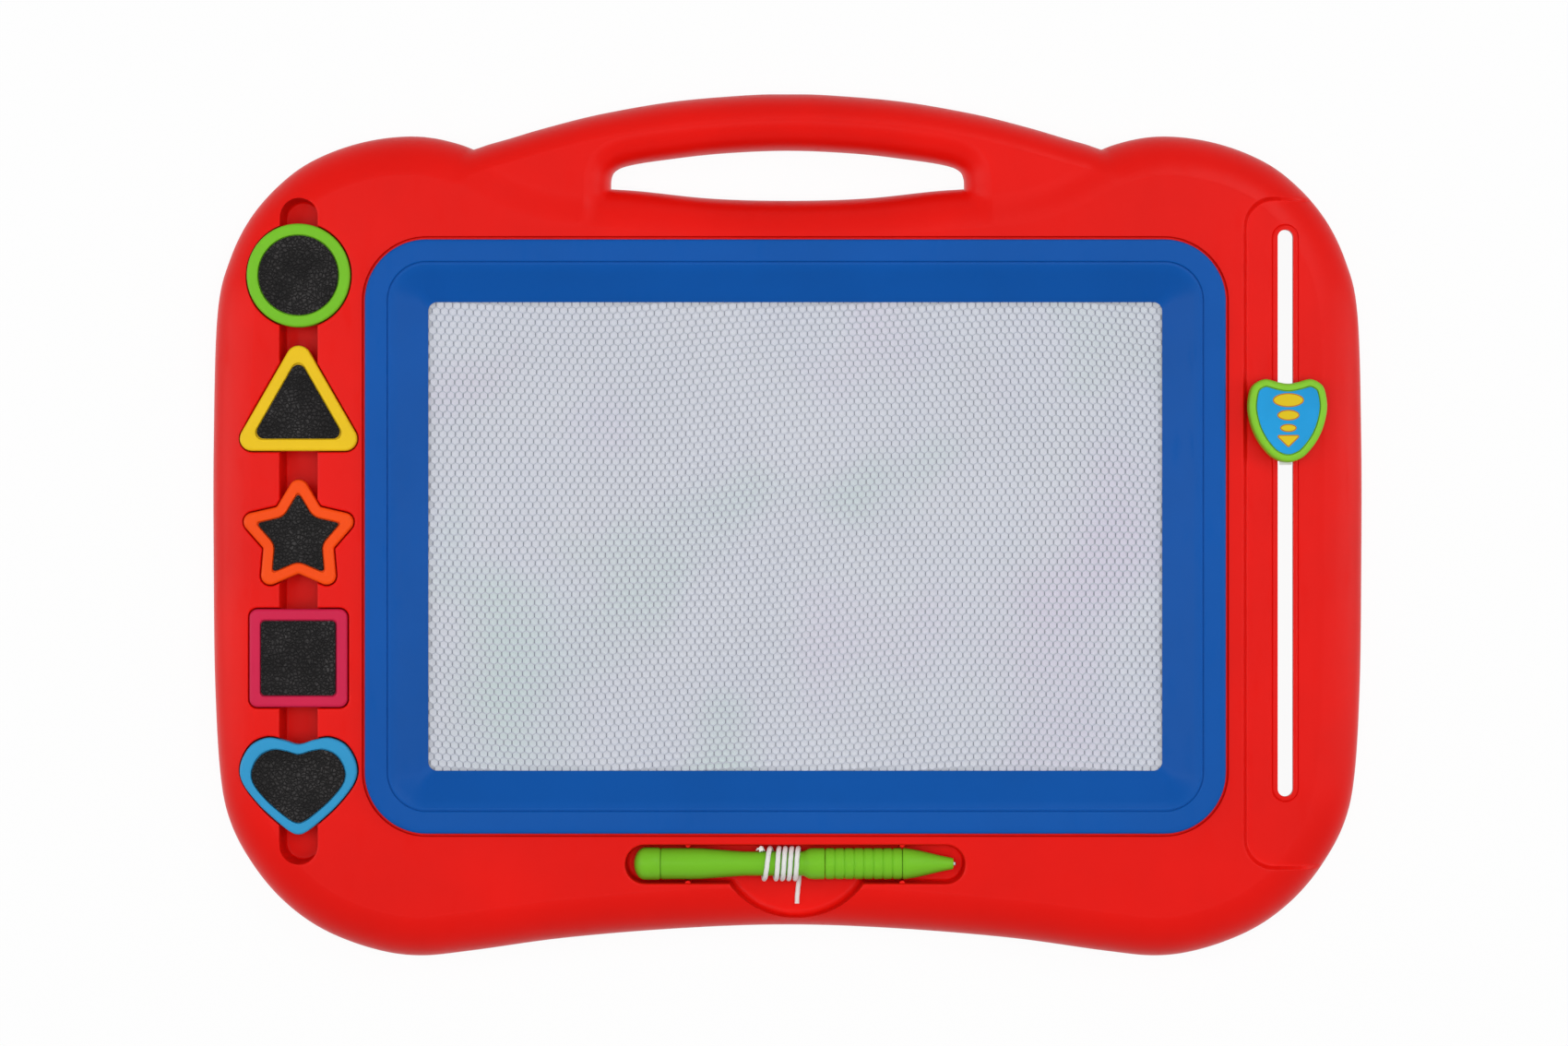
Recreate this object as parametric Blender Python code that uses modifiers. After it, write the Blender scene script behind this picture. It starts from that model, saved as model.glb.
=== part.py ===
"""Magnetic drawing board with an eraser slide, five stamps and a pen.

The board lies on its back with its drawing face up (+Z), its carrying handle at +Y
and its eraser slot at +X.  The origin is on the surface that it lies on, under the
middle of its outline.  All lengths are in metres.
"""
import math

import bmesh
import bpy
from mathutils import Vector

# Fits and cuts
FIT_GAP = 0.0003
CUT_OVERRUN = 0.003
WELD_DISTANCE = 0.000001
# A corner radius just under half a plate's width, which rounds its whole end
ROUND_END_SHARE = 0.999
# How far an offset corner may run out, as the least cosine of its half turn
LEAST_MITRE_SHARE = 0.3
SMOOTH_ANGLE = math.radians(32)
ROUNDED_ANGLE = math.radians(40)

# Screen and bezel: these and the four bands drive the board's overall size
SCREEN_WIDTH = 0.2672
SCREEN_HEIGHT = 0.1706
BEZEL_BAND = 0.0090
BEZEL_SLOPE_RUN = 0.0134
BEZEL_RADIUS = 0.0224
BEZEL_INNER_RADIUS = 0.0032
BEZEL_PROUD = 0.0020
BEZEL_EDGE_ROUND = 0.0009
BEZEL_LIP = 0.0005
BEZEL_SHELL_OVERLAP = 0.0050
BEZEL_RIB_WIDTH = 0.0020
BEZEL_RIB_DEPTH = 0.0026
BEZEL_WALL = 0.0028
SKIRT_WIDTH = 0.0024
SKIRT_DEPTH = 0.0022
SCREEN_RIM = 0.0062
FILM_THICKNESS = 0.0004
CORE_THICKNESS = 0.0015
# Cells pressed into the honeycomb core: coarser than the real ones, to keep the faces few
CELL_PITCH = 0.0260
CELL_WALL = 0.0030
CELL_DEPTH = 0.0008
CELL_EDGE_MARGIN = 0.0040
CELL_SIDES = 6
CELL_RADIUS = (CELL_PITCH - CELL_WALL) / math.sqrt(3)
CELL_ROW_PITCH = CELL_PITCH * math.sqrt(3) / 2
LEFT_BAND = 0.0568
RIGHT_BAND = 0.0512
TOP_BAND = 0.0540
BOTTOM_BAND = 0.0456

# Case: heights above the surface that the board lies on
FACE_HEIGHT = 0.0240
PARTING_HEIGHT = 0.0100
SCREEN_TOP_HEIGHT = 0.0171
HANDLE_TOP_HEIGHT = 0.0225
HANDLE_BOTTOM_HEIGHT = 0.0015
HANDLE_DEPTH = 0.0665
FRONT_WALL = 0.0025
BACK_WALL = 0.0022
TUB_WALL = 0.0018
EDGE_ROLL = 0.0150
BACK_ROLL = 0.0120
HANDLE_ROLL = 0.0094
# How much of half the handle's bar its rolled edge may take
HANDLE_ROLL_LIMIT_SHARE = 0.92
OUTLINE_STEPS = 2
ROLL_STEPS = 4
CAVITY_STEPS = 2
CAVITY_OUTLINE_STEPS = 1

# Half outline, from the middle of the top clockwise to the middle of the bottom.
# Each point is a share of half the board's width and of half its height.
BODY_HALF_SHARES = (
    (0.0, 0.753), (0.133, 0.758), (0.264, 0.776), (0.381, 0.786), (0.452, 0.810),
    (0.510, 0.848), (0.571, 0.884), (0.643, 0.902), (0.724, 0.893), (0.802, 0.861),
    (0.867, 0.810), (0.930, 0.722), (0.971, 0.616), (0.993, 0.486), (0.9995, 0.190),
    (0.9995, -0.095), (0.997, -0.362), (0.988, -0.575), (0.970, -0.690), (0.931, -0.788),
    (0.878, -0.872), (0.810, -0.938), (0.724, -0.983), (0.643, -0.9998), (0.548, -0.988),
    (0.389, -0.959), (0.190, -0.937), (0.0, -0.928),
)
# Half outline of the handle.  Each point is a share of half the board's width and of
# the handle's depth, up from the buried roots to the board's upper edge.
HANDLE_HALF_SHARES = (
    (0.0, 0.690), (0.121, 0.673), (0.217, 0.638), (0.271, 0.611), (0.297, 0.582),
    (0.3065, 0.533), (0.308, 0.420), (0.316, 0.226), (0.362, 0.060), (0.448, 0.0),
    (0.533, 0.075), (0.595, 0.256), (0.614, 0.467), (0.581, 0.640), (0.533, 0.710),
    (0.484, 0.756), (0.420, 0.816), (0.325, 0.891), (0.198, 0.960), (0.070, 0.995),
    (0.0, 1.0),
)

# Sunk panel and eraser slot at the right
PANEL_DEPTH = 0.0020
PANEL_LEFT_INSET = 0.0445
PANEL_TOP_INSET = 0.0385
PANEL_BOTTOM_INSET = 0.0325
PANEL_RADIUS = 0.0110
SLOT_INSET = 0.0293
SLOT_WIDTH = 0.0056
SLOT_TOP_INSET = 0.0503
SLOT_BOTTOM_INSET = 0.0589
SLOT_RIM_WIDTH = 0.0016
SLOT_RIM_HEIGHT = 0.0004
BACK_SLOT_MARGIN = 0.0030

# Eraser: bar behind the screen, carriage in the slot, knob in front, slider behind
BAR_WIDTH = 0.0110
BAR_THICKNESS = 0.0028
BAR_LEFT_OVERHANG = 0.0190
ERASER_MAGNET_WIDTH = 0.0070
ERASER_MAGNET_THICKNESS = 0.0020
CARRIAGE_WIDTH = 0.0120
CARRIAGE_LENGTH = 0.0180
CARRIAGE_HEIGHT = 0.0062
STEM_SIDE_GAP = 0.0004
STEM_LENGTH = 0.0120
KNOB_WIDTH = 0.0284
KNOB_LENGTH = 0.0301
KNOB_HEIGHT = 0.0084
KNOB_REST_SHARE = 0.662
KNOB_EDGE_ROUND = 0.0016
KNOB_SOCKET_DEPTH = 0.0052
LABEL_BORDER = 0.0026
LABEL_DEPTH = 0.0009
LABEL_THICKNESS = 0.0007
SLIDER_WIDTH = 0.0160
SLIDER_LENGTH = 0.0180
SLIDER_THICKNESS = 0.0030
SLIDER_POCKET_DEPTH = 0.0040
SLIDER_POCKET_MARGIN = 0.0010
RAIL_WIDTH = 0.0016
KNOB_HALF_SHARES = (
    (0.0, 0.89), (0.26, 0.93), (0.56, 1.0), (0.79, 0.92), (0.93, 0.76), (1.0, 0.39),
    (0.96, 0.05), (0.84, -0.30), (0.64, -0.62), (0.36, -0.89), (0.0, -1.0),
)

# Stamps, stored magnet up with their knobs down in one long channel
STAMP_COLUMN_INSET = 0.0326
CHANNEL_WIDTH = 0.0137
CHANNEL_TOP_REACH = 0.0092
CHANNEL_BOTTOM_REACH = 0.0108
CHANNEL_FLOOR_HEIGHT = 0.0064
STAMP_MARGIN = 0.0012
STAMP_PROUD = 0.0004
STAMP_PLATE_THICKNESS = 0.0064
STAMP_EDGE_ROUND = 0.0010
STAMP_MAGNET_PROUD = 0.0005
STAMP_MAGNET_SEAT = 0.0014
STAMP_KNOB_DIAMETER = 0.0098
STAMP_KNOB_ROUND = 0.0016
STAMP_KNOB_STEPS = 16
CIRCLE_RADIUS = 0.0190
CIRCLE_BORDER = 0.0044
CIRCLE_STEPS = 28
TRIANGLE_HALF_WIDTH = 0.0246
TRIANGLE_HEIGHT = 0.0428
TRIANGLE_RADIUS = 0.0045
TRIANGLE_LEAST_RADIUS = 0.0025
TRIANGLE_BORDER = 0.0045
STAR_TIP_RADIUS = 0.0240
STAR_VALLEY_RADIUS = 0.0134
STAR_TIP_ROUND = 0.0034
STAR_LEAST_ROUND = 0.0008
STAR_VALLEY_ROUND = 0.0015
STAR_BORDER = 0.0042
STAR_POINTS = 5
SQUARE_SIDE = 0.0356
SQUARE_RADIUS = 0.0030
SQUARE_LEAST_RADIUS = 0.0015
SQUARE_BORDER = 0.0043
HEART_WIDTH = 0.0422
HEART_HEIGHT = 0.0351
HEART_BORDER = 0.0044
HEART_HALF_SHARES = (
    (0.0, 0.87), (0.27, 0.96), (0.55, 1.0), (0.83, 0.83), (1.0, 0.44), (0.96, 0.07),
    (0.68, -0.38), (0.34, -0.76), (0.13, -0.95), (0.0, -1.0),
)
# Middle of the column of stamps above the board's own, and the gap above each stamp
STAMP_COLUMN_RISE = -0.0014
TRIANGLE_GAP = 0.0019
STAR_GAP = 0.0071
SQUARE_GAP = 0.0068
HEART_GAP = 0.0111

# Pen, lying along X in its recess
PEN_TAIL_X_INSET = 0.1542
PEN_Y_INSET = 0.0344
PEN_AXIS_BELOW_FACE = 0.0040
PEN_BODY_RADIUS = 0.00565
PEN_CAP_RADIUS = 0.0059
PEN_WAIST_RADIUS = 0.0044
PEN_CAP_LENGTH = 0.0097
# The cap's outer side, as shares of its radius and of its length from the end
PEN_CAP_SHARES = ((1.0, 0.75), (1.0, 0.40), (0.93, 0.18), (0.70, 0.05), (0.35, 0.0))
PEN_BARREL_LENGTH = 0.0597
# The barrel's outer side, nose end first: how far the radius is from the waist's to
# the body's, and where along the barrel, as shares
PEN_BARREL_SHARES = ((1.0, 0.910), (0.70, 0.890), (0.0, 0.872), (0.0, 0.50), (0.22, 0.44), (0.64, 0.33),
                     (1.0, 0.20))
PEN_GRIP_LENGTH = 0.0281
PEN_NOSE_LENGTH = 0.0186
# The nose's outer side, tip first: how far the radius is from the end's to the
# body's, and where along the nose, as shares
PEN_NOSE_SHARES = ((0.0, 0.97), (0.56, 0.50), (0.92, 0.16), (1.0, 0.0))
PEN_NOSE_FACE_SHARE = 0.85
PEN_TIP_REACH = 0.0010
PEN_TIP_RADIUS = 0.00075
PEN_TIP_FLAT_SHARE = 0.6
PEN_TIP_SEAT = 0.0080
PEN_NOSE_END_RADIUS = 0.0021
PEN_SPIGOT_RADIUS = 0.0034
PEN_SPIGOT_LENGTH = 0.0050
PEN_RING_COUNT = 8
PEN_RING_DEPTH = 0.0006
# Where each grip ring's crest starts and ends, as shares of the pitch
PEN_RING_CREST_SHARES = (0.28, 0.72)
PEN_RECESS_END_GAP = 0.0031
PEN_RECESS_HALF_WIDTH = 0.00705
PEN_RECESS_DEPTH = 0.0110
NUB_RADIUS = 0.0010
NUB_TAIL_INSET = 0.0196
NUB_NOSE_INSET = 0.0197
NUB_ABOVE_AXIS = 0.0028
SADDLE_WIDTH = 0.0016
TURNED_STEPS = 20
THUMB_RADIUS = 0.0294
THUMB_CENTRE_RISE = 0.0095
THUMB_FROM_PEN_TAIL = 0.0590
THUMB_FLOOR_STEP = 0.0003

# Cord wound on the pen's waist
CORD_DIAMETER = 0.0018
CORD_PITCH = 0.00230
CORD_FIRST_STEP = 0.0043
CORD_START_FROM_TAIL = 0.0473
CORD_TURNS = 5.25
CORD_POINTS_PER_TURN = 24
CORD_TAIL_REACH = 0.0132
CORD_TAIL_POINTS = 8
CORD_START_STUB = 0.0024
CORD_TAIL_DRIFT = -0.0010
CORD_STUB_POINTS = 2

# Case screws
SCREW_HEAD_RADIUS = 0.0027
SCREW_HEAD_THICKNESS = 0.0016
SCREW_SHANK_RADIUS = 0.0012
SCREW_LENGTH = 0.0130
SCREW_HEAD_FACE_SHARE = 0.8
SCREW_HEAD_SUNK = 0.0022
SCREW_STEPS = 8
BOSS_RADIUS = 0.0032
# Places of the case screws, as shares of half the board's width and height
SCREW_PLACE_SHARES = (
    (-0.652, 0.790), (0.652, 0.790), (0.012, 0.709), (-0.645, -0.888), (0.645, -0.888),
    (-0.425, -0.862), (0.430, -0.862), (-0.9335, 0.432), (-0.9560, -0.155),
    (0.9420, 0.381), (0.9420, -0.381),
)
CORNER_STEPS = 4

# Sizes worked out from the ones above
BEZEL_INSET = BEZEL_BAND + BEZEL_SLOPE_RUN
BEZEL_WIDTH = SCREEN_WIDTH + 2 * BEZEL_INSET
BEZEL_HEIGHT = SCREEN_HEIGHT + 2 * BEZEL_INSET
BOARD_WIDTH = BEZEL_WIDTH + LEFT_BAND + RIGHT_BAND
BOARD_HEIGHT = BEZEL_HEIGHT + TOP_BAND + BOTTOM_BAND
LEFT = -BOARD_WIDTH / 2
RIGHT = BOARD_WIDTH / 2
TOP = BOARD_HEIGHT / 2
BOTTOM = -BOARD_HEIGHT / 2
BEZEL_X = LEFT + LEFT_BAND + BEZEL_WIDTH / 2
BEZEL_Y = BOTTOM + BOTTOM_BAND + BEZEL_HEIGHT / 2
BEZEL_TOP_HEIGHT = FACE_HEIGHT + BEZEL_PROUD
BEZEL_SEAT_HEIGHT = SCREEN_TOP_HEIGHT + FIT_GAP
HANDLE_BAR_WIDTH = HANDLE_DEPTH * (1 - HANDLE_HALF_SHARES[0][1])
HANDLE_EDGE_ROLL = min(HANDLE_ROLL, HANDLE_BAR_WIDTH / 2 * HANDLE_ROLL_LIMIT_SHARE)
FRONT_BASE = PARTING_HEIGHT + FIT_GAP / 2
BACK_TOP = PARTING_HEIGHT - FIT_GAP / 2
PANEL_HEIGHT = FACE_HEIGHT - PANEL_DEPTH
SLOT_X = RIGHT - SLOT_INSET
SLOT_TOP = TOP - SLOT_TOP_INSET
SLOT_BOTTOM = BOTTOM + SLOT_BOTTOM_INSET
KNOB_Y = SLOT_BOTTOM + (SLOT_TOP - SLOT_BOTTOM) * KNOB_REST_SHARE
CORE_TOP = SCREEN_TOP_HEIGHT - FILM_THICKNESS - FIT_GAP
BACKING_TOP = CORE_TOP - CORE_THICKNESS - FIT_GAP
ERASER_MAGNET_TOP = BACKING_TOP - FILM_THICKNESS - FIT_GAP
BAR_TOP = ERASER_MAGNET_TOP - ERASER_MAGNET_THICKNESS - FIT_GAP
BAR_BASE = BAR_TOP - BAR_THICKNESS
KNOB_BASE = PANEL_HEIGHT + SLOT_RIM_HEIGHT + FIT_GAP
KNOB_TOP = KNOB_BASE + KNOB_HEIGHT
STEM_WIDTH = SLOT_WIDTH - 2 * STEM_SIDE_GAP
STEM_TOP = KNOB_BASE + KNOB_SOCKET_DEPTH - FIT_GAP
STEM_BASE = SLIDER_POCKET_DEPTH - FIT_GAP
SLIDER_TOP = STEM_BASE - FIT_GAP
SLIDER_BASE = SLIDER_TOP - SLIDER_THICKNESS
STAMP_X = LEFT + STAMP_COLUMN_INSET
STAR_FOOT_REACH = STAR_TIP_RADIUS * math.cos(math.pi / STAR_POINTS)
STAMP_COLUMN_LENGTH = (2 * CIRCLE_RADIUS + TRIANGLE_GAP + TRIANGLE_HEIGHT + STAR_GAP + STAR_TIP_RADIUS
                       + STAR_FOOT_REACH + SQUARE_GAP + SQUARE_SIDE + HEART_GAP + HEART_HEIGHT)
STAMP_COLUMN_TOP = STAMP_COLUMN_RISE + STAMP_COLUMN_LENGTH / 2
CHANNEL_TOP = STAMP_COLUMN_TOP + CHANNEL_TOP_REACH
CHANNEL_BOTTOM = STAMP_COLUMN_TOP - STAMP_COLUMN_LENGTH - CHANNEL_BOTTOM_REACH
STAMP_TOP = FACE_HEIGHT + STAMP_PROUD
STAMP_BASE = STAMP_TOP - STAMP_PLATE_THICKNESS
STAMP_FLOOR = STAMP_BASE - FIT_GAP
PEN_TAIL_X = LEFT + PEN_TAIL_X_INSET
PEN_Y = BOTTOM + PEN_Y_INSET
PEN_Z = FACE_HEIGHT - PEN_AXIS_BELOW_FACE
PEN_LENGTH = PEN_CAP_LENGTH + PEN_BARREL_LENGTH + PEN_GRIP_LENGTH + PEN_NOSE_LENGTH + PEN_TIP_REACH
PEN_FLOOR = FACE_HEIGHT - PEN_RECESS_DEPTH
PEN_RECESS_LEFT = PEN_TAIL_X - PEN_RECESS_END_GAP
PEN_RECESS_RIGHT = PEN_TAIL_X + PEN_LENGTH + PEN_RECESS_END_GAP
THUMB_X = PEN_TAIL_X + THUMB_FROM_PEN_TAIL
THUMB_Y = PEN_Y + THUMB_CENTRE_RISE
THUMB_FLOOR = PEN_FLOOR - THUMB_FLOOR_STEP

# Colours as seen, in 8-bit sRGB, with roughness and metallic value
RED_PLASTIC = ((228, 30, 26), 0.35, 0.0)
BLUE_PLASTIC = ((44, 104, 180), 0.38, 0.0)
FILM_PLASTIC = ((214, 218, 230), 0.25, 0.0)
CORE_PLASTIC = ((205, 209, 222), 0.50, 0.0)
WHITE_PLASTIC = ((236, 236, 232), 0.40, 0.0)
GREEN_PLASTIC = ((112, 192, 36), 0.35, 0.0)
YELLOW_PLASTIC = ((238, 198, 44), 0.35, 0.0)
ORANGE_PLASTIC = ((250, 88, 24), 0.35, 0.0)
MAGENTA_PLASTIC = ((222, 42, 92), 0.35, 0.0)
SKY_PLASTIC = ((52, 154, 214), 0.35, 0.0)
MAGNET_RUBBER = ((50, 50, 50), 0.75, 0.0)
STEEL = ((170, 172, 176), 0.30, 1.0)
CORD_FIBRE = ((238, 238, 236), 0.80, 0.0)


def clear_scene():
    """Remove every object that the file starts with."""
    for scene_object in list(bpy.data.objects):
        bpy.data.objects.remove(scene_object, do_unlink=True)


def new_collection(name):
    """Make a collection under the scene's own."""
    collection = bpy.data.collections.new(name)
    bpy.context.scene.collection.children.link(collection)
    return collection


def linear(channel):
    """Turn one 8-bit sRGB channel into a linear value."""
    value = channel / 255
    if value <= 0.04045:
        return value / 12.92
    return ((value + 0.055) / 1.055) ** 2.4


def make_material(name, finish):
    """Make a Principled material from a colour, a roughness and a metallic value."""
    colour, roughness, metallic = finish
    material = bpy.data.materials.new(name)
    material.use_nodes = True
    shader = material.node_tree.nodes["Principled BSDF"]
    shader.inputs["Base Color"].default_value = (*[linear(channel) for channel in colour], 1.0)
    shader.inputs["Roughness"].default_value = roughness
    shader.inputs["Metallic"].default_value = metallic
    return material


# Outlines: lists of (x, y) points, counter-clockwise


def signed_area(outline):
    """Give an outline's area, positive when it runs counter-clockwise."""
    total = 0
    for index, (x, y) in enumerate(outline):
        next_x, next_y = outline[(index + 1) % len(outline)]
        total += x * next_y - next_x * y
    return total / 2


def counter_clockwise(outline):
    """Turn an outline so that it runs counter-clockwise."""
    if signed_area(outline) < 0:
        return list(reversed(outline))
    return list(outline)


def smooth_closed(points, steps):
    """Run a closed Catmull-Rom curve through points, with steps points to each span."""
    curve = []
    count = len(points)
    for index in range(count):
        before, start, end, after = [Vector(points[(index + shift) % count]) for shift in (-1, 0, 1, 2)]
        for step in range(steps):
            t = step / steps
            bend = 2 * before - 5 * start + 4 * end - after
            twist = 3 * start - before - 3 * end + after
            point = (2 * start + (end - before) * t + bend * t ** 2 + twist * t ** 3) / 2
            curve.append((point.x, point.y))
    return curve


def mirrored_outline(half_shares, half_width, half_height, steps, centre=(0, 0)):
    """Scale half an outline's shares, mirror it about its middle and smooth it."""
    half = [(x * half_width, y * half_height) for x, y in half_shares]
    whole = half + [(-x, y) for x, y in reversed(half[1:-1])]
    smooth = smooth_closed(counter_clockwise(whole), steps)
    return [(x + centre[0], y + centre[1]) for x, y in smooth]


def filleted(corners, steps):
    """Round the corners of a polygon, each given as (x, y, radius)."""
    outline = []
    count = len(corners)
    for index, (x, y, radius) in enumerate(corners):
        corner = Vector((x, y))
        to_last = (Vector(corners[index - 1][:2]) - corner).normalized()
        to_next = (Vector(corners[(index + 1) % count][:2]) - corner).normalized()
        half_angle = to_last.angle(to_next) / 2
        centre = corner + (to_last + to_next).normalized() * radius / math.sin(half_angle)
        start = corner + to_last * radius / math.tan(half_angle) - centre
        end = corner + to_next * radius / math.tan(half_angle) - centre
        turn = math.atan2(start.x * end.y - start.y * end.x, start.dot(end))
        for step in range(steps + 1):
            angle = turn * step / steps
            cosine, sine = math.cos(angle), math.sin(angle)
            outline.append((centre.x + start.x * cosine - start.y * sine,
                            centre.y + start.x * sine + start.y * cosine))
    return outline


def rectangle(left, right, bottom, top, radius, steps=CORNER_STEPS):
    """Give a rectangle with round corners."""
    return filleted([(right, bottom, radius), (right, top, radius),
                     (left, top, radius), (left, bottom, radius)], steps)


def circle(centre_x, centre_y, radius, steps):
    """Give a circle as a polygon."""
    angles = [2 * math.pi * step / steps for step in range(steps)]
    return [(centre_x + radius * math.cos(angle), centre_y + radius * math.sin(angle)) for angle in angles]


def inset(outline, distance):
    """Move an outline inwards by a distance, or outwards by a negative one."""
    moved = []
    count = len(outline)
    for index, point in enumerate(outline):
        here = Vector(point)
        back = (here - Vector(outline[index - 1])).normalized()
        ahead = (Vector(outline[(index + 1) % count]) - here).normalized()
        normal = (Vector((-back.y, back.x)) + Vector((-ahead.y, ahead.x))).normalized()
        stretch = max(normal.dot(Vector((-ahead.y, ahead.x))), LEAST_MITRE_SHARE)
        here = here + normal * distance / stretch
        moved.append((here.x, here.y))
    return moved


# Solids


def finish_mesh(name, shape, collection, location=(0, 0, 0)):
    """Link a bmesh as an object, with its faces pointing out and round parts smooth."""
    bmesh.ops.remove_doubles(shape, verts=shape.verts, dist=WELD_DISTANCE)
    bmesh.ops.recalc_face_normals(shape, faces=shape.faces)
    mesh = bpy.data.meshes.new(name)
    shape.to_mesh(mesh)
    shape.free()
    mesh.shade_smooth()
    mesh.set_sharp_from_angle(angle=SMOOTH_ANGLE)
    solid = bpy.data.objects.new(name, mesh)
    solid.location = location
    collection.objects.link(solid)
    return solid


def loft(name, rings, collection, ring_shaped=False):
    """Join rings, each an outline and a height, into a closed solid.

    A ring-shaped solid joins its last ring to its first; any other is capped.
    """
    shape = bmesh.new()
    levels = [[shape.verts.new((x, y, height)) for x, y in outline] for outline, height in rings]
    pairs = list(zip(levels, levels[1:]))
    if ring_shaped:
        pairs.append((levels[-1], levels[0]))
    else:
        shape.faces.new(levels[0])
        shape.faces.new(levels[-1])
    for lower, upper in pairs:
        for index in range(len(lower)):
            after = (index + 1) % len(lower)
            shape.faces.new((lower[index], lower[after], upper[after], upper[index]))
    return finish_mesh(name, shape, collection)


def plate(name, outline, base, top, collection):
    """Extrude a flat outline, drawn as a filled 2D curve, into a plate."""
    curve = bpy.data.curves.new(name, "CURVE")
    curve.dimensions = "2D"
    curve.fill_mode = "BOTH"
    curve.extrude = (top - base) / 2
    spline = curve.splines.new("POLY")
    spline.points.add(len(outline) - 1)
    for point, (x, y) in zip(spline.points, outline):
        point.co = (x, y, 0, 1)
    spline.use_cyclic_u = True
    return mesh_from_curve(name, curve, collection, (0, 0, (top + base) / 2))


def mesh_from_curve(name, curve, collection, location):
    """Turn a curve into a welded mesh object at a location."""
    drawn = bpy.data.objects.new(name, curve)
    bpy.context.scene.collection.objects.link(drawn)
    evaluated = drawn.evaluated_get(bpy.context.evaluated_depsgraph_get())
    mesh = bpy.data.meshes.new_from_object(evaluated)
    bpy.data.objects.remove(drawn, do_unlink=True)
    shape = bmesh.new()
    shape.from_mesh(mesh)
    bpy.data.meshes.remove(mesh)
    return finish_mesh(name, shape, collection, location)


def cylinder(name, centre, radius, base, top, collection, steps=SCREW_STEPS):
    """Make an upright cylinder."""
    shape = bmesh.new()
    bmesh.ops.create_cone(shape, cap_ends=True, segments=steps, radius1=radius, radius2=radius,
                          depth=top - base)
    return finish_mesh(name, shape, collection, (centre[0], centre[1], (base + top) / 2))


def box(name, low, high, collection):
    """Make a box between two corners."""
    size = [high[axis] - low[axis] for axis in range(3)]
    middle = [(high[axis] + low[axis]) / 2 for axis in range(3)]
    shape = bmesh.new()
    bmesh.ops.create_cube(shape, size=1)
    bmesh.ops.scale(shape, vec=size, verts=shape.verts)
    return finish_mesh(name, shape, collection, middle)


def turned(name, profile, collection, location, along_x=False, steps=TURNED_STEPS, closed=False):
    """Turn a profile of (radius, height) points, listed down its outer side, about its axis."""
    shape = bmesh.new()
    corners = [shape.verts.new((radius, 0, height)) for radius, height in profile]
    for start, end in zip(corners, corners[1:]):
        shape.edges.new((start, end))
    if closed:
        shape.edges.new((corners[-1], corners[0]))
    mesh = bpy.data.meshes.new(name)
    shape.to_mesh(mesh)
    shape.free()
    solid = bpy.data.objects.new(name, mesh)
    solid.location = location
    if along_x:
        solid.rotation_euler = (0, math.pi / 2, 0)
    collection.objects.link(solid)
    screw = solid.modifiers.new("turn", "SCREW")
    screw.steps = steps
    screw.render_steps = steps
    screw.use_merge_vertices = True
    screw.merge_threshold = WELD_DISTANCE
    screw.use_smooth_shade = True
    return solid


def boolean(target, tool, operation, solver="EXACT"):
    """Cut a tool out of a target, or join it on."""
    modifier = target.modifiers.new(f"{operation.lower()} {tool.name}", "BOOLEAN")
    modifier.operation = operation
    modifier.solver = solver
    modifier.object = tool


def cut(target, *tools):
    """Cut each tool out of the target."""
    for tool in tools:
        boolean(target, tool, "DIFFERENCE")


def join(target, *tools):
    """Join each tool to the target."""
    for tool in tools:
        boolean(target, tool, "UNION")


def round_edges(solid, width, segments=2):
    """Round the sharp edges of a solid."""
    bevel = solid.modifiers.new("round edges", "BEVEL")
    bevel.width = width
    bevel.segments = segments
    bevel.limit_method = "ANGLE"
    bevel.angle_limit = ROUNDED_ANGLE


def dress(solid, material):
    """Give a solid its material."""
    solid.data.materials.clear()
    solid.data.materials.append(material)
    return solid


# Places and outlines shared by several pieces


def body_outline(steps=OUTLINE_STEPS):
    """Give the board's outline without its handle."""
    return mirrored_outline(BODY_HALF_SHARES, RIGHT, TOP, steps)


def handle_outline(steps=OUTLINE_STEPS):
    """Give the handle's outline, whose two ends are buried in the body."""
    return mirrored_outline(HANDLE_HALF_SHARES, RIGHT, HANDLE_DEPTH, steps, (0, TOP - HANDLE_DEPTH))


def bezel_ring(inward, height):
    """Give one ring of the bezel at a distance in from its outer edge."""
    radius = max(BEZEL_RADIUS - inward, BEZEL_INNER_RADIUS)
    half_width = BEZEL_WIDTH / 2 - inward
    half_height = BEZEL_HEIGHT / 2 - inward
    return (rectangle(BEZEL_X - half_width, BEZEL_X + half_width,
                      BEZEL_Y - half_height, BEZEL_Y + half_height, radius), height)


def slot_outline(margin):
    """Give the eraser slot's outline with a margin round it."""
    half_width = SLOT_WIDTH / 2 + margin
    return rectangle(SLOT_X - half_width, SLOT_X + half_width,
                     SLOT_BOTTOM - margin, SLOT_TOP + margin, half_width * ROUND_END_SHARE)


def slider_pocket_outline(margin):
    """Give the outline of the pocket behind the slot, in which the rear slider runs."""
    half_width = SLIDER_WIDTH / 2 + SLIDER_POCKET_MARGIN + margin
    reach = (SLIDER_LENGTH - STEM_LENGTH) / 2 + SLIDER_POCKET_MARGIN + margin
    return rectangle(SLOT_X - half_width, SLOT_X + half_width,
                     SLOT_BOTTOM - reach, SLOT_TOP + reach, half_width * ROUND_END_SHARE)


def panel_outline(margin):
    """Give the sunk panel's outline, open at the right, with a margin round it."""
    far_right = RIGHT + PANEL_RADIUS + CUT_OVERRUN
    return rectangle(LEFT + BOARD_WIDTH - PANEL_LEFT_INSET - margin, far_right + margin,
                     BOTTOM + PANEL_BOTTOM_INSET - margin, TOP - PANEL_TOP_INSET + margin,
                     PANEL_RADIUS + margin)


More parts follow.
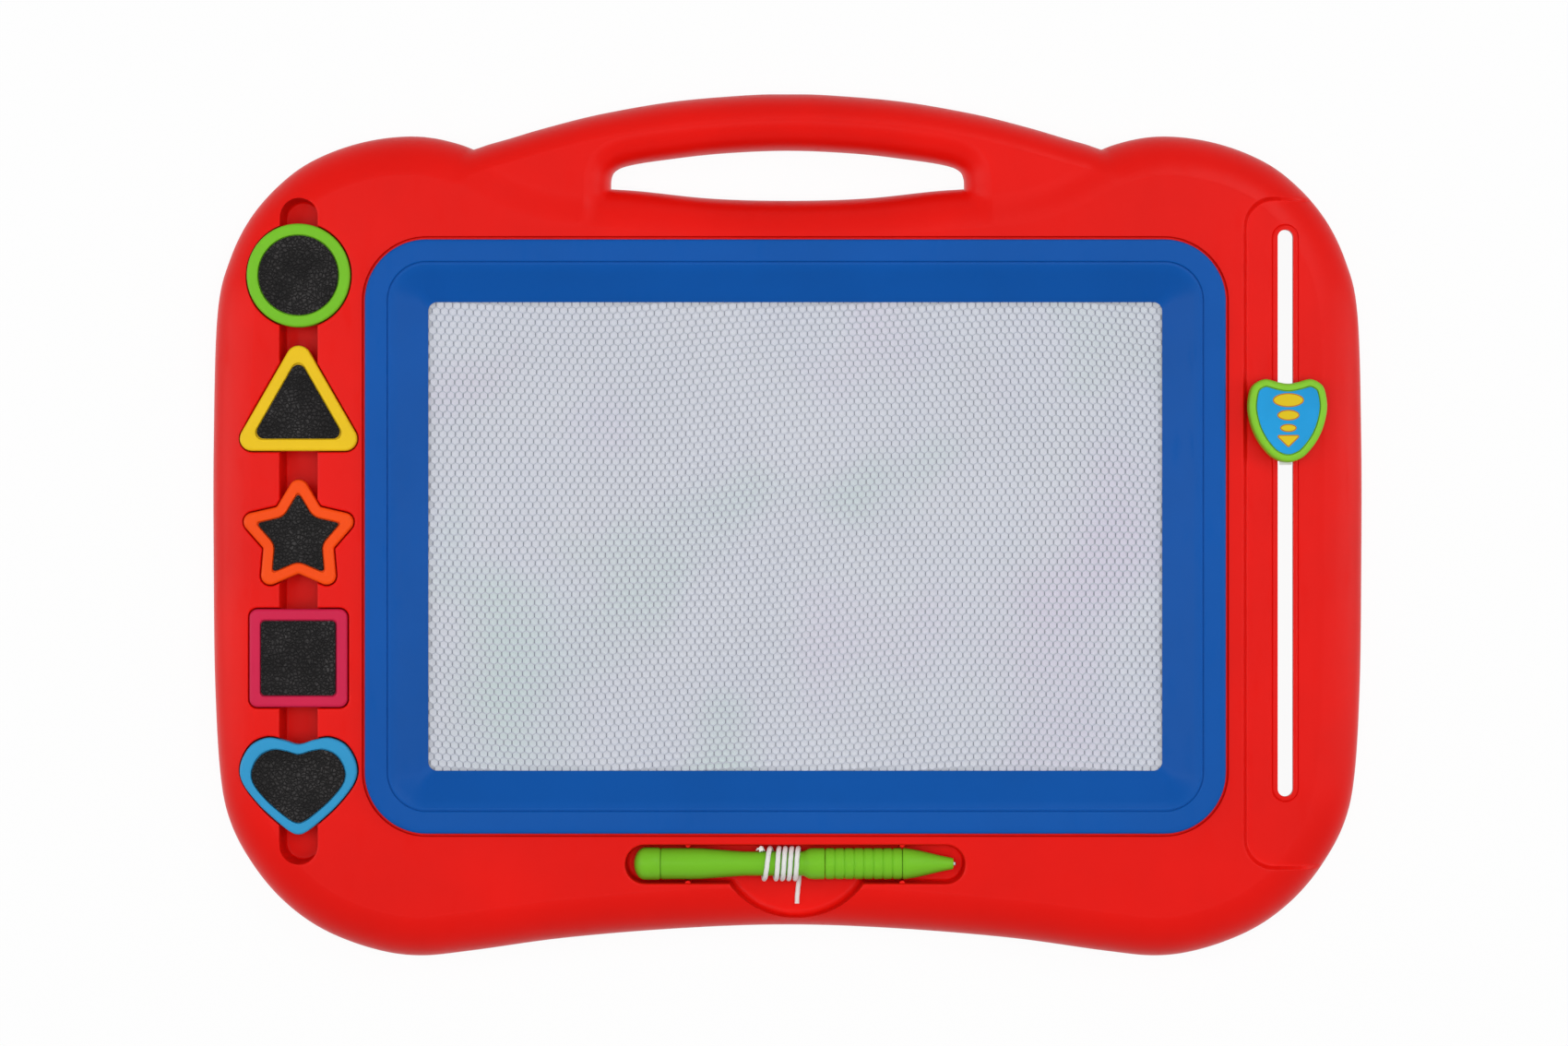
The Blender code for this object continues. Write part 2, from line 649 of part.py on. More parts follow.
def channel_outline(margin):
    """Give the stamp channel's outline with a margin round it."""
    half_width = CHANNEL_WIDTH / 2 + margin
    return rectangle(STAMP_X - half_width, STAMP_X + half_width,
                     CHANNEL_BOTTOM - margin, CHANNEL_TOP + margin, half_width * ROUND_END_SHARE)


def pen_recess_outline(margin):
    """Give the pen recess's outline with a margin round it."""
    half_width = PEN_RECESS_HALF_WIDTH + margin
    return rectangle(PEN_RECESS_LEFT - margin, PEN_RECESS_RIGHT + margin,
                     PEN_Y - half_width, PEN_Y + half_width, half_width * ROUND_END_SHARE)


def thumb_outline(margin):
    """Give the thumb recess's outline: a segment of a circle below the pen recess."""
    radius = THUMB_RADIUS + margin
    top = PEN_Y
    half_angle = math.acos((THUMB_Y - top) / radius)
    steps = 4 * CORNER_STEPS
    points = []
    for step in range(steps + 1):
        angle = -math.pi / 2 - half_angle + 2 * half_angle * step / steps
        points.append((THUMB_X + radius * math.cos(angle), THUMB_Y + radius * math.sin(angle)))
    return points


def star_corners():
    """List the star's tips and valleys as (x, y, is a tip)."""
    corners = []
    for index in range(2 * STAR_POINTS):
        angle = math.pi / 2 + index * math.pi / STAR_POINTS
        is_tip = index % 2 == 0
        radius = STAR_TIP_RADIUS if is_tip else STAR_VALLEY_RADIUS
        corners.append((radius * math.cos(angle), radius * math.sin(angle), is_tip))
    return corners


def moved_polygon(corners, inward, radius, least_radius, steps=CORNER_STEPS):
    """Move a polygon's sides inwards, then round its corners, given as (x, y, is a tip)."""
    moved = inset([corner[:2] for corner in corners], inward)
    tip = max(radius - inward, least_radius)
    valley = max(STAR_VALLEY_ROUND + inward, STAR_LEAST_ROUND)
    return filleted([(x, y, tip if corner[2] else valley) for (x, y), corner in zip(moved, corners)], steps)


def stamp_outline(name, inward):
    """Give a stamp's outline, moved inwards, or outwards by a negative distance."""
    if name == "circle":
        return circle(0, 0, CIRCLE_RADIUS - inward, CIRCLE_STEPS)
    if name == "heart":
        return mirrored_outline(HEART_HALF_SHARES, HEART_WIDTH / 2 - inward, HEART_HEIGHT / 2 - inward,
                                OUTLINE_STEPS)
    if name == "triangle":
        half_height = TRIANGLE_HEIGHT / 2
        corners = [(TRIANGLE_HALF_WIDTH, -half_height, True), (0, half_height, True),
                   (-TRIANGLE_HALF_WIDTH, -half_height, True)]
        return moved_polygon(corners, inward, TRIANGLE_RADIUS, TRIANGLE_LEAST_RADIUS)
    if name == "star":
        return moved_polygon(star_corners(), inward, STAR_TIP_ROUND, STAR_LEAST_ROUND, steps=2)
    half_side = SQUARE_SIDE / 2
    corners = [(half_side, -half_side, True), (half_side, half_side, True),
               (-half_side, half_side, True), (-half_side, -half_side, True)]
    return moved_polygon(corners, inward, SQUARE_RADIUS, SQUARE_LEAST_RADIUS)


def stamp_list():
    """List each stamp's name, the border round its magnet, its middle's Y and its finish."""
    half_triangle = TRIANGLE_HEIGHT / 2
    half_square = SQUARE_SIDE / 2
    half_heart = HEART_HEIGHT / 2
    column = (
        ("circle", CIRCLE_BORDER, 0, CIRCLE_RADIUS, CIRCLE_RADIUS, GREEN_PLASTIC),
        ("triangle", TRIANGLE_BORDER, TRIANGLE_GAP, half_triangle, half_triangle, YELLOW_PLASTIC),
        ("star", STAR_BORDER, STAR_GAP, STAR_TIP_RADIUS, STAR_FOOT_REACH, ORANGE_PLASTIC),
        ("square", SQUARE_BORDER, SQUARE_GAP, half_square, half_square, MAGENTA_PLASTIC),
        ("heart", HEART_BORDER, HEART_GAP, half_heart, half_heart, SKY_PLASTIC),
    )
    stamps = []
    edge = STAMP_COLUMN_TOP
    for name, border, gap_above, reach_up, reach_down, finish in column:
        middle = edge - gap_above - reach_up
        stamps.append((name, border, middle, finish))
        edge = middle - reach_down
    return stamps


def placed(outline, centre):
    """Move an outline to a centre."""
    return [(x + centre[0], y + centre[1]) for x, y in outline]


def screw_places():
    """List the case screws' places."""
    return [(x_share * RIGHT, y_share * TOP) for x_share, y_share in SCREW_PLACE_SHARES]


def rolled_rings(outline, base, top, roll, steps, overrun=0):
    """Stack rings from a straight base up over an elliptical edge to a flat top.

    The base may be above the top, which rolls the edge downwards.  An overrun
    carries the outline straight past the base.
    """
    rings = []
    if overrun:
        rings.append((outline, base - math.copysign(overrun, top - base)))
    for step in range(steps + 1):
        angle = math.pi / 2 * step / steps
        rings.append((inset(outline, roll * (1 - math.cos(angle))), base + (top - base) * math.sin(angle)))
    return rings


# Sub-assemblies


def build_front_shell(parts, cutters):
    """Build the red front shell with its half of the handle, its tubs and its bosses."""
    rings = rolled_rings(body_outline(), FRONT_BASE, FACE_HEIGHT, EDGE_ROLL, ROLL_STEPS)
    shell = loft("front_shell", rings, parts)
    handle = loft("front_handle_solid", rolled_rings(handle_outline(), FRONT_BASE, HANDLE_TOP_HEIGHT,
                                                     HANDLE_EDGE_ROLL, ROLL_STEPS), cutters)
    inner_body = inset(body_outline(CAVITY_OUTLINE_STEPS), FRONT_WALL)
    inner_handle = inset(handle_outline(CAVITY_OUTLINE_STEPS), FRONT_WALL)
    cavity = loft("front_cavity", rolled_rings(inner_body, FRONT_BASE, FACE_HEIGHT - FRONT_WALL,
                                               EDGE_ROLL - FRONT_WALL, CAVITY_STEPS, CUT_OVERRUN), cutters)
    handle_cavity = loft("front_handle_cavity", rolled_rings(inner_handle, FRONT_BASE,
                                                             HANDLE_TOP_HEIGHT - FRONT_WALL,
                                                             HANDLE_EDGE_ROLL - FRONT_WALL, CAVITY_STEPS,
                                                             CUT_OVERRUN), cutters)
    above = FACE_HEIGHT + CUT_OVERRUN
    cut(cavity, plate("panel_wall", panel_outline(FRONT_WALL), PANEL_HEIGHT - FRONT_WALL, above, cutters))
    cut(cavity, plate("pen_tub", pen_recess_outline(TUB_WALL), PEN_FLOOR - TUB_WALL, above, cutters))
    cut(cavity, plate("thumb_tub", thumb_outline(TUB_WALL), THUMB_FLOOR - TUB_WALL, above, cutters))
    for name, _, middle, _ in stamp_list():
        spot = placed(stamp_outline(name, -STAMP_MARGIN - TUB_WALL), (STAMP_X, middle))
        cut(cavity, plate(f"{name}_tub", spot, STAMP_FLOOR - TUB_WALL, above, cutters))
    boss_base = FRONT_BASE - 2 * CUT_OVERRUN
    for index, place in enumerate(screw_places()):
        cut(cavity, cylinder(f"front_boss_{index + 1}", place, BOSS_RADIUS, boss_base, above, cutters))
    join(shell, handle)
    cut(shell, cavity, handle_cavity)
    channel_tub = plate("channel_tub", channel_outline(TUB_WALL), CHANNEL_FLOOR_HEIGHT - TUB_WALL,
                        STAMP_FLOOR - TUB_WALL / 2, cutters)
    join(shell, channel_tub)
    window_outline = bezel_ring(BEZEL_SHELL_OVERLAP, 0)[0]
    cut(shell, plate("window", window_outline, FRONT_BASE + CUT_OVERRUN, above, cutters))
    cut(shell, plate("panel_cut", panel_outline(0), PANEL_HEIGHT, above, cutters))
    join(shell, plate("slot_rim", slot_outline(SLOT_RIM_WIDTH), PANEL_HEIGHT - FRONT_WALL / 2,
                      PANEL_HEIGHT + SLOT_RIM_HEIGHT, cutters))
    cut(shell, plate("front_slot", slot_outline(0), FRONT_BASE, above, cutters))
    cut(shell, plate("channel_cut", channel_outline(0), CHANNEL_FLOOR_HEIGHT, above, cutters))
    for name, _, middle, _ in stamp_list():
        spot = placed(stamp_outline(name, -STAMP_MARGIN), (STAMP_X, middle))
        cut(shell, plate(f"{name}_recess", spot, STAMP_FLOOR, above, cutters))
    pen_cut = plate("pen_recess", pen_recess_outline(0), PEN_FLOOR, above, cutters)
    nub_height = PEN_Z + NUB_ABOVE_AXIS
    saddle_top = PEN_Z - PEN_BODY_RADIUS - FIT_GAP
    for end, x in (("tail", PEN_TAIL_X + NUB_TAIL_INSET), ("nose", PEN_TAIL_X + PEN_LENGTH - NUB_NOSE_INSET)):
        for side in (-1, 1):
            spot = (x, PEN_Y + side * PEN_RECESS_HALF_WIDTH)
            nub = cylinder(f"{end}_nub_{'left' if side > 0 else 'right'}", spot, NUB_RADIUS,
                           PEN_FLOOR - CUT_OVERRUN, nub_height, cutters)
            cut(pen_cut, nub)
        half_saddle = SADDLE_WIDTH / 2
        saddle_low = (x - half_saddle, PEN_Y - PEN_RECESS_HALF_WIDTH, PEN_FLOOR - CUT_OVERRUN)
        saddle_high = (x + half_saddle, PEN_Y + PEN_RECESS_HALF_WIDTH, saddle_top)
        saddle = box(f"{end}_saddle", saddle_low, saddle_high, cutters)
        cut(pen_cut, saddle)
    cut(shell, pen_cut)
    cut(shell, plate("thumb_recess", thumb_outline(0), THUMB_FLOOR, above, cutters))
    pilot_top = SCREW_HEAD_SUNK + SCREW_LENGTH + FIT_GAP
    for index, place in enumerate(screw_places()):
        cut(shell, cylinder(f"pilot_hole_{index + 1}", place, SCREW_SHANK_RADIUS + FIT_GAP,
                            FRONT_BASE - CUT_OVERRUN, pilot_top, cutters))
    return shell


def build_back_cover(parts, cutters):
    """Build the red back cover with its half of the handle, bosses and eraser rails."""
    cover = loft("back_cover", rolled_rings(body_outline(), BACK_TOP, 0, BACK_ROLL, ROLL_STEPS), parts)
    handle = loft("back_handle_solid", rolled_rings(handle_outline(), BACK_TOP, HANDLE_BOTTOM_HEIGHT,
                                                    HANDLE_EDGE_ROLL, ROLL_STEPS), cutters)
    inner_body = inset(body_outline(CAVITY_OUTLINE_STEPS), BACK_WALL)
    inner_handle = inset(handle_outline(CAVITY_OUTLINE_STEPS), BACK_WALL)
    cavity = loft("back_cavity", rolled_rings(inner_body, BACK_TOP, BACK_WALL, BACK_ROLL - BACK_WALL,
                                              CAVITY_STEPS, CUT_OVERRUN), cutters)
    handle_cavity = loft("back_handle_cavity", rolled_rings(inner_handle, BACK_TOP,
                                                            HANDLE_BOTTOM_HEIGHT + BACK_WALL,
                                                            HANDLE_EDGE_ROLL - BACK_WALL, CAVITY_STEPS,
                                                            CUT_OVERRUN), cutters)
    below = -CUT_OVERRUN
    boss_top = BACK_TOP + 2 * CUT_OVERRUN
    for index, place in enumerate(screw_places()):
        cut(cavity, cylinder(f"back_boss_{index + 1}", place, BOSS_RADIUS, below, boss_top, cutters))
    rail_top = BAR_BASE - FIT_GAP
    panel_left = LEFT + BOARD_WIDTH - PANEL_LEFT_INSET
    bezel_left = BEZEL_X - BEZEL_WIDTH / 2
    for side, x in (("left", bezel_left + BEZEL_SHELL_OVERLAP), ("right", panel_left - RAIL_WIDTH)):
        rail = box(f"{side}_rail", (x, SLOT_BOTTOM, below), (x + RAIL_WIDTH, SLOT_TOP, rail_top), cutters)
        cut(cavity, rail)
    cut(cavity, plate("pocket_wall", slider_pocket_outline(BACK_WALL), below, SLIDER_POCKET_DEPTH + BACK_WALL,
                      cutters))
    join(cover, handle)
    cut(cover, cavity, handle_cavity)
    cut(cover, plate("slider_pocket", slider_pocket_outline(0), below, SLIDER_POCKET_DEPTH, cutters))
    cut(cover, plate("back_slot", slot_outline(BACK_SLOT_MARGIN), below, BACK_TOP, cutters))
    head_room = SCREW_HEAD_SUNK + SCREW_HEAD_THICKNESS
    for index, place in enumerate(screw_places()):
        cut(cover, cylinder(f"head_hole_{index + 1}", place, SCREW_HEAD_RADIUS + FIT_GAP, below, head_room,
                            cutters))
        cut(cover, cylinder(f"shank_hole_{index + 1}", place, SCREW_SHANK_RADIUS + FIT_GAP, below,
                            BACK_TOP + CUT_OVERRUN, cutters))
    return cover


def cell_centres(half_width, half_height):
    """List the middles of the honeycomb's cells, in rows that are staggered by half a cell."""
    reach_x = half_width - CELL_EDGE_MARGIN - CELL_PITCH / 2
    reach_y = half_height - CELL_EDGE_MARGIN - CELL_RADIUS
    last_row = int(reach_y / CELL_ROW_PITCH)
    last_column = int(half_width / CELL_PITCH) + 1
    centres = []
    for row in range(-last_row, last_row + 1):
        shift = CELL_PITCH / 2 if row % 2 == 0 else 0
        for column in range(-last_column, last_column + 1):
            x = column * CELL_PITCH + shift
            if abs(x) <= reach_x:
                centres.append((BEZEL_X + x, BEZEL_Y + row * CELL_ROW_PITCH))
    return centres


def build_core_cells(half_width, half_height, cutters):
    """Make one tool that holds every cell of the honeycomb core as an upright prism."""
    angles = [2 * math.pi * (side + 0.5) / CELL_SIDES for side in range(CELL_SIDES)]
    shape = bmesh.new()
    for centre_x, centre_y in cell_centres(half_width, half_height):
        levels = []
        for height in (CORE_TOP - CELL_DEPTH, CORE_TOP + CUT_OVERRUN):
            levels.append([shape.verts.new((centre_x + CELL_RADIUS * math.cos(angle),
                                            centre_y + CELL_RADIUS * math.sin(angle), height))
                           for angle in angles])
        shape.faces.new(levels[0])
        shape.faces.new(levels[1])
        for side in range(CELL_SIDES):
            after = (side + 1) % CELL_SIDES
            shape.faces.new((levels[0][side], levels[0][after], levels[1][after], levels[1][side]))
    return finish_mesh("core_cells", shape, cutters)


def build_screen(parts, cutters):
    """Build the blue bezel and the three layers of the drawing screen."""
    slope_end = BEZEL_SEAT_HEIGHT + BEZEL_LIP
    skirt_in = BEZEL_INSET - SCREEN_RIM
    skirt_out = skirt_in - SKIRT_WIDTH
    slope = (BEZEL_TOP_HEIGHT - slope_end) / BEZEL_SLOPE_RUN
    under_skirt = BEZEL_TOP_HEIGHT - slope * (skirt_out - BEZEL_BAND) - BEZEL_WALL
    seat = FACE_HEIGHT + FIT_GAP
    rib_out = BEZEL_SHELL_OVERLAP + FIT_GAP
    rib_in = rib_out + BEZEL_RIB_WIDTH
    profile = (
        (0, seat), (0, BEZEL_TOP_HEIGHT - BEZEL_EDGE_ROUND), (BEZEL_EDGE_ROUND, BEZEL_TOP_HEIGHT),
        (BEZEL_BAND, BEZEL_TOP_HEIGHT), (BEZEL_INSET, slope_end), (BEZEL_INSET, BEZEL_SEAT_HEIGHT),
        (skirt_in, BEZEL_SEAT_HEIGHT), (skirt_in, BEZEL_SEAT_HEIGHT - SKIRT_DEPTH),
        (skirt_out, BEZEL_SEAT_HEIGHT - SKIRT_DEPTH), (skirt_out, under_skirt),
        (rib_in, BEZEL_TOP_HEIGHT - BEZEL_WALL), (rib_in, seat - BEZEL_RIB_DEPTH),
        (rib_out, seat - BEZEL_RIB_DEPTH), (rib_out, seat),
    )
    rings = [bezel_ring(inward, height) for inward, height in profile]
    dress(loft("screen_bezel", rings, parts, ring_shaped=True), make_material("blue plastic", BLUE_PLASTIC))
    screen = bezel_ring(skirt_in + FIT_GAP, 0)[0]
    film_material = make_material("screen film", FILM_PLASTIC)
    film_base = SCREEN_TOP_HEIGHT - FILM_THICKNESS
    dress(plate("screen_film", screen, film_base, SCREEN_TOP_HEIGHT, parts), film_material)
    core = plate("honeycomb_core", screen, CORE_TOP - CORE_THICKNESS, CORE_TOP, parts)
    core_inset = skirt_in + FIT_GAP
    cut(core, build_core_cells(BEZEL_WIDTH / 2 - core_inset, BEZEL_HEIGHT / 2 - core_inset, cutters))
    dress(core, make_material("honeycomb", CORE_PLASTIC))
    dress(plate("screen_backing", screen, BACKING_TOP - FILM_THICKNESS, BACKING_TOP, parts), film_material)


def screw_profile(length):
    """Give a pan-head screw's profile, tip up and head down."""
    return ((0, length), (SCREW_SHANK_RADIUS, length - SCREW_SHANK_RADIUS),
            (SCREW_SHANK_RADIUS, SCREW_HEAD_THICKNESS), (SCREW_HEAD_RADIUS, SCREW_HEAD_THICKNESS),
            (SCREW_HEAD_RADIUS * SCREW_HEAD_FACE_SHARE, 0), (0, 0))


def build_case_screws(parts):
    """Put a screw up into each boss from the back."""
    steel = make_material("steel", STEEL)
    head_base = SCREW_HEAD_SUNK - FIT_GAP
    for index, (x, y) in enumerate(screw_places()):
        screw = turned(f"case_screw_{index + 1:02d}", screw_profile(SCREW_LENGTH), parts, (x, y, head_base),
                       steps=SCREW_STEPS)
        dress(screw, steel)
    return steel


def build_eraser(parts, cutters, steel):
    """Build the eraser's bar, magnet, knob, label, rear slider and screw."""
    white = make_material("white plastic", WHITE_PLASTIC)
    green = make_material("green knob plastic", GREEN_PLASTIC)
    centre = (SLOT_X, KNOB_Y)
    bar_left = BEZEL_X - SCREEN_WIDTH / 2 - BAR_LEFT_OVERHANG
    half_bar = BAR_WIDTH / 2
    bar = box("eraser_bar", (bar_left, KNOB_Y - half_bar, BAR_BASE), (SLOT_X, KNOB_Y + half_bar, BAR_TOP),
              parts)
    half_carriage = CARRIAGE_LENGTH / 2
    join(bar, box("carriage_block", (SLOT_X - CARRIAGE_WIDTH / 2, KNOB_Y - half_carriage, BAR_BASE),
                  (SLOT_X + CARRIAGE_WIDTH / 2, KNOB_Y + half_carriage, BAR_BASE + CARRIAGE_HEIGHT), cutters))
    half_stem = STEM_LENGTH / 2
    join(bar, box("carriage_stem", (SLOT_X - STEM_WIDTH / 2, KNOB_Y - half_stem, STEM_BASE),
                  (SLOT_X + STEM_WIDTH / 2, KNOB_Y + half_stem, STEM_TOP), cutters))
    hole = SCREW_SHANK_RADIUS + FIT_GAP
    cut(bar, cylinder("carriage_screw_hole", centre, hole, STEM_BASE - CUT_OVERRUN,
                      SLIDER_BASE + SCREW_LENGTH + 2 * FIT_GAP, cutters))
    dress(bar, white)
    half_magnet = ERASER_MAGNET_WIDTH / 2
    half_screen = SCREEN_WIDTH / 2
    magnet = box("eraser_magnet", (BEZEL_X - half_screen, KNOB_Y - half_magnet, BAR_TOP + FIT_GAP),
                 (BEZEL_X + half_screen, KNOB_Y + half_magnet, ERASER_MAGNET_TOP), parts)
    rubber = make_material("magnet rubber", MAGNET_RUBBER)
    dress(magnet, rubber)
    knob_shape = mirrored_outline(KNOB_HALF_SHARES, KNOB_WIDTH / 2, KNOB_LENGTH / 2, OUTLINE_STEPS, centre)
    knob = plate("eraser_knob", knob_shape, KNOB_BASE, KNOB_TOP, parts)
    round_edges(knob, KNOB_EDGE_ROUND)
    socket = (STEM_WIDTH / 2 + FIT_GAP, half_stem + FIT_GAP)
    cut(knob, box("knob_socket", (SLOT_X - socket[0], KNOB_Y - socket[1], KNOB_BASE - CUT_OVERRUN),
                  (SLOT_X + socket[0], KNOB_Y + socket[1], KNOB_BASE + KNOB_SOCKET_DEPTH), cutters))
    cut(knob, plate("label_recess", inset(knob_shape, LABEL_BORDER), KNOB_TOP - LABEL_DEPTH,
                    KNOB_TOP + CUT_OVERRUN, cutters))
    dress(knob, green)
    label_base = KNOB_TOP - LABEL_DEPTH + FIT_GAP
    label = plate("eraser_knob_label", inset(knob_shape, LABEL_BORDER + FIT_GAP), label_base,
                  label_base + LABEL_THICKNESS, parts)
    dress(label, make_material("blue label", SKY_PLASTIC))
    half_slider = (SLIDER_WIDTH / 2, SLIDER_LENGTH / 2)
    slider = plate("rear_slider", rectangle(SLOT_X - half_slider[0], SLOT_X + half_slider[0],
                                            KNOB_Y - half_slider[1], KNOB_Y + half_slider[1],
                                            half_slider[0] * ROUND_END_SHARE), SLIDER_BASE, SLIDER_TOP, parts)
    below = SLIDER_BASE - CUT_OVERRUN
    cut(slider, cylinder("slider_hole", centre, hole, below, SLIDER_TOP + CUT_OVERRUN, cutters))
    cut(slider, cylinder("slider_head_hole", centre, SCREW_HEAD_RADIUS + FIT_GAP, below,
                         SLIDER_BASE + SCREW_HEAD_THICKNESS + FIT_GAP, cutters))
    dress(slider, white)
    screw = turned("eraser_screw", screw_profile(SCREW_LENGTH), parts, (*centre, SLIDER_BASE),
                   steps=SCREW_STEPS)
    dress(screw, steel)
    return rubber


def build_stamps(parts, cutters, rubber):
    """Build each stamp's body, with its knob below, and its magnet."""
    for name, border, middle, finish in stamp_list():
        centre = (STAMP_X, middle)
        spot = placed(stamp_outline(name, 0), centre)
        body = plate(f"{name}_stamp_body", spot, STAMP_BASE, STAMP_TOP, parts)
        round_edges(body, STAMP_EDGE_ROUND)
        knob_base = CHANNEL_FLOOR_HEIGHT + FIT_GAP
        knob_radius = STAMP_KNOB_DIAMETER / 2
        knob_top = STAMP_BASE + STAMP_PLATE_THICKNESS / 2
        knob = cylinder(f"{name}_stamp_knob", centre, knob_radius, knob_base, knob_top, cutters,
                        STAMP_KNOB_STEPS)
        round_edges(knob, STAMP_KNOB_ROUND, segments=1)
        seat = STAMP_TOP - STAMP_MAGNET_SEAT
        seat_spot = placed(stamp_outline(name, border - FIT_GAP), centre)
        # The exact solver loses the star here, so the seats are cut with the other one
        boolean(body, plate(f"{name}_magnet_seat", seat_spot, seat, STAMP_TOP + CUT_OVERRUN, cutters),
                "DIFFERENCE", "MANIFOLD")
        join(body, knob)
        dress(body, make_material(f"{name} stamp plastic", finish))
        magnet = plate(f"{name}_stamp_magnet", placed(stamp_outline(name, border), centre), seat + FIT_GAP,
                       STAMP_TOP + STAMP_MAGNET_PROUD, parts)
        dress(magnet, rubber)


def blended(start, end, share):
    """Give the value that lies a share of the way from start to end."""
    return start + (end - start) * share


def build_pen(parts, steel):
    """Build the pen: tail cap, barrel with a waist, ringed grip, nose and magnet tip."""
    green = make_material("green pen plastic", GREEN_PLASTIC)
    at_tail = (PEN_TAIL_X, PEN_Y, PEN_Z)
    half_gap = FIT_GAP / 2
    bore = PEN_SPIGOT_RADIUS + FIT_GAP
    spigot_reach = PEN_SPIGOT_LENGTH + FIT_GAP
    cap_end = PEN_CAP_LENGTH - half_gap
    cap_side = [(PEN_CAP_RADIUS * radius, PEN_CAP_LENGTH * along) for radius, along in PEN_CAP_SHARES]
    cap = ((0, PEN_CAP_LENGTH - spigot_reach), (bore, PEN_CAP_LENGTH - spigot_reach), (bore, cap_end),
           (PEN_BODY_RADIUS, cap_end), *cap_side, (0, 0))
    dress(turned("pen_tail_cap", cap, parts, at_tail, along_x=True), green)
    start = PEN_CAP_LENGTH + half_gap
    end = PEN_CAP_LENGTH + PEN_BARREL_LENGTH - half_gap
    barrel_side = [(blended(PEN_WAIST_RADIUS, PEN_BODY_RADIUS, fullness), blended(start, end, along))
                   for fullness, along in PEN_BARREL_SHARES]
    barrel = ((0, end + PEN_SPIGOT_LENGTH), (PEN_SPIGOT_RADIUS, end + PEN_SPIGOT_LENGTH),
              (PEN_SPIGOT_RADIUS, end), (PEN_BODY_RADIUS, end), *barrel_side,
              (PEN_BODY_RADIUS, start), (PEN_SPIGOT_RADIUS, start),
              (PEN_SPIGOT_RADIUS, start - PEN_SPIGOT_LENGTH), (0, start - PEN_SPIGOT_LENGTH))
    dress(turned("pen_barrel", barrel, parts, at_tail, along_x=True), green)
    grip_start = PEN_CAP_LENGTH + PEN_BARREL_LENGTH + half_gap
    grip_end = grip_start + PEN_GRIP_LENGTH - FIT_GAP
    pitch = (grip_end - grip_start) / PEN_RING_COUNT
    crest_start, crest_end = PEN_RING_CREST_SHARES
    rings = []
    for ring in range(PEN_RING_COUNT, 0, -1):
        low = grip_start + pitch * (ring - 1)
        rings += [(PEN_BODY_RADIUS - PEN_RING_DEPTH, low + pitch), (PEN_BODY_RADIUS, low + pitch * crest_end),
                  (PEN_BODY_RADIUS, low + pitch * crest_start)]
    rings.append((PEN_BODY_RADIUS - PEN_RING_DEPTH, grip_start))
    grip = ((0, grip_end + PEN_SPIGOT_LENGTH), (PEN_SPIGOT_RADIUS, grip_end + PEN_SPIGOT_LENGTH),
            (PEN_SPIGOT_RADIUS, grip_end), *rings, (bore, grip_start), (bore, grip_start + spigot_reach),
            (0, grip_start + spigot_reach))
    dress(turned("pen_grip", grip, parts, at_tail, along_x=True), green)
    nose_start = grip_end + FIT_GAP
    nose_end = nose_start + PEN_NOSE_LENGTH - half_gap
    tip_bore = PEN_TIP_RADIUS + FIT_GAP
    nose_side = [(blended(PEN_NOSE_END_RADIUS, PEN_BODY_RADIUS, fullness),
                  blended(nose_start, nose_end, along)) for fullness, along in PEN_NOSE_SHARES]
    nose = ((0, nose_end - PEN_TIP_SEAT), (tip_bore, nose_end - PEN_TIP_SEAT), (tip_bore, nose_end),
            (PEN_NOSE_END_RADIUS * PEN_NOSE_FACE_SHARE, nose_end), *nose_side,
            (bore, nose_start), (bore, nose_start + spigot_reach), (0, nose_start + spigot_reach))
    dress(turned("pen_nose", nose, parts, at_tail, along_x=True), green)
    tip_base = nose_end - PEN_TIP_SEAT + FIT_GAP
    tip_end = nose_end + PEN_TIP_REACH
    tip = ((0, tip_end), (PEN_TIP_RADIUS * PEN_TIP_FLAT_SHARE, tip_end),
           (PEN_TIP_RADIUS, tip_end - PEN_TIP_RADIUS / 2), (PEN_TIP_RADIUS, tip_base), (0, tip_base))
    dress(turned("pen_tip", tip, parts, at_tail, along_x=True, steps=SCREW_STEPS), steel)


def winding_route():
    """Give the centre line of the cord's stub and of its turns round the waist.

    A turn is counted from the pen's lower side (-Y), over its top.  The cord starts
    on the upper side (+Y), half a turn before that, and leaves straight under the pen.
    """
    radius = PEN_WAIST_RADIUS + FIT_GAP + CORD_DIAMETER / 2
    start_x = PEN_TAIL_X + CORD_START_FROM_TAIL
    first_x = start_x - CORD_FIRST_STEP / 4
    points = []
    for step in range(CORD_STUB_POINTS, 0, -1):
        rise = CORD_START_STUB * step / CORD_STUB_POINTS
        points.append(Vector((first_x, PEN_Y + radius, PEN_Z + rise)))
    for step in range(round(CORD_TURNS * CORD_POINTS_PER_TURN) + 1):
        turn = step / CORD_POINTS_PER_TURN - 0.5
        if turn < 0:
            x = start_x + CORD_FIRST_STEP / 2 * turn
        elif turn < 1:
            x = start_x + CORD_FIRST_STEP * turn
        else:
            x = start_x + CORD_FIRST_STEP + CORD_PITCH * (turn - 1)
        angle = 2 * math.pi * turn
        points.append(Vector((x, PEN_Y - radius * math.cos(angle), PEN_Z + radius * math.sin(angle))))
    points.append(points[-1] - Vector((0, CORD_DIAMETER, 0)))
    return points


def tail_route(start):
    """Give the centre line of the tail, from the end of the turns to the thumb recess's floor."""
    drop = start.z - (THUMB_FLOOR + CORD_DIAMETER / 2 + FIT_GAP)
    points = []
    for step in range(CORD_TAIL_POINTS + 1):
        share = step / CORD_TAIL_POINTS
        ease = share ** 2 * (3 - 2 * share)
        reach = FIT_GAP + (CORD_TAIL_REACH - FIT_GAP) * share
        points.append(start + Vector((CORD_TAIL_DRIFT * ease, -reach, -drop * ease)))
    return points


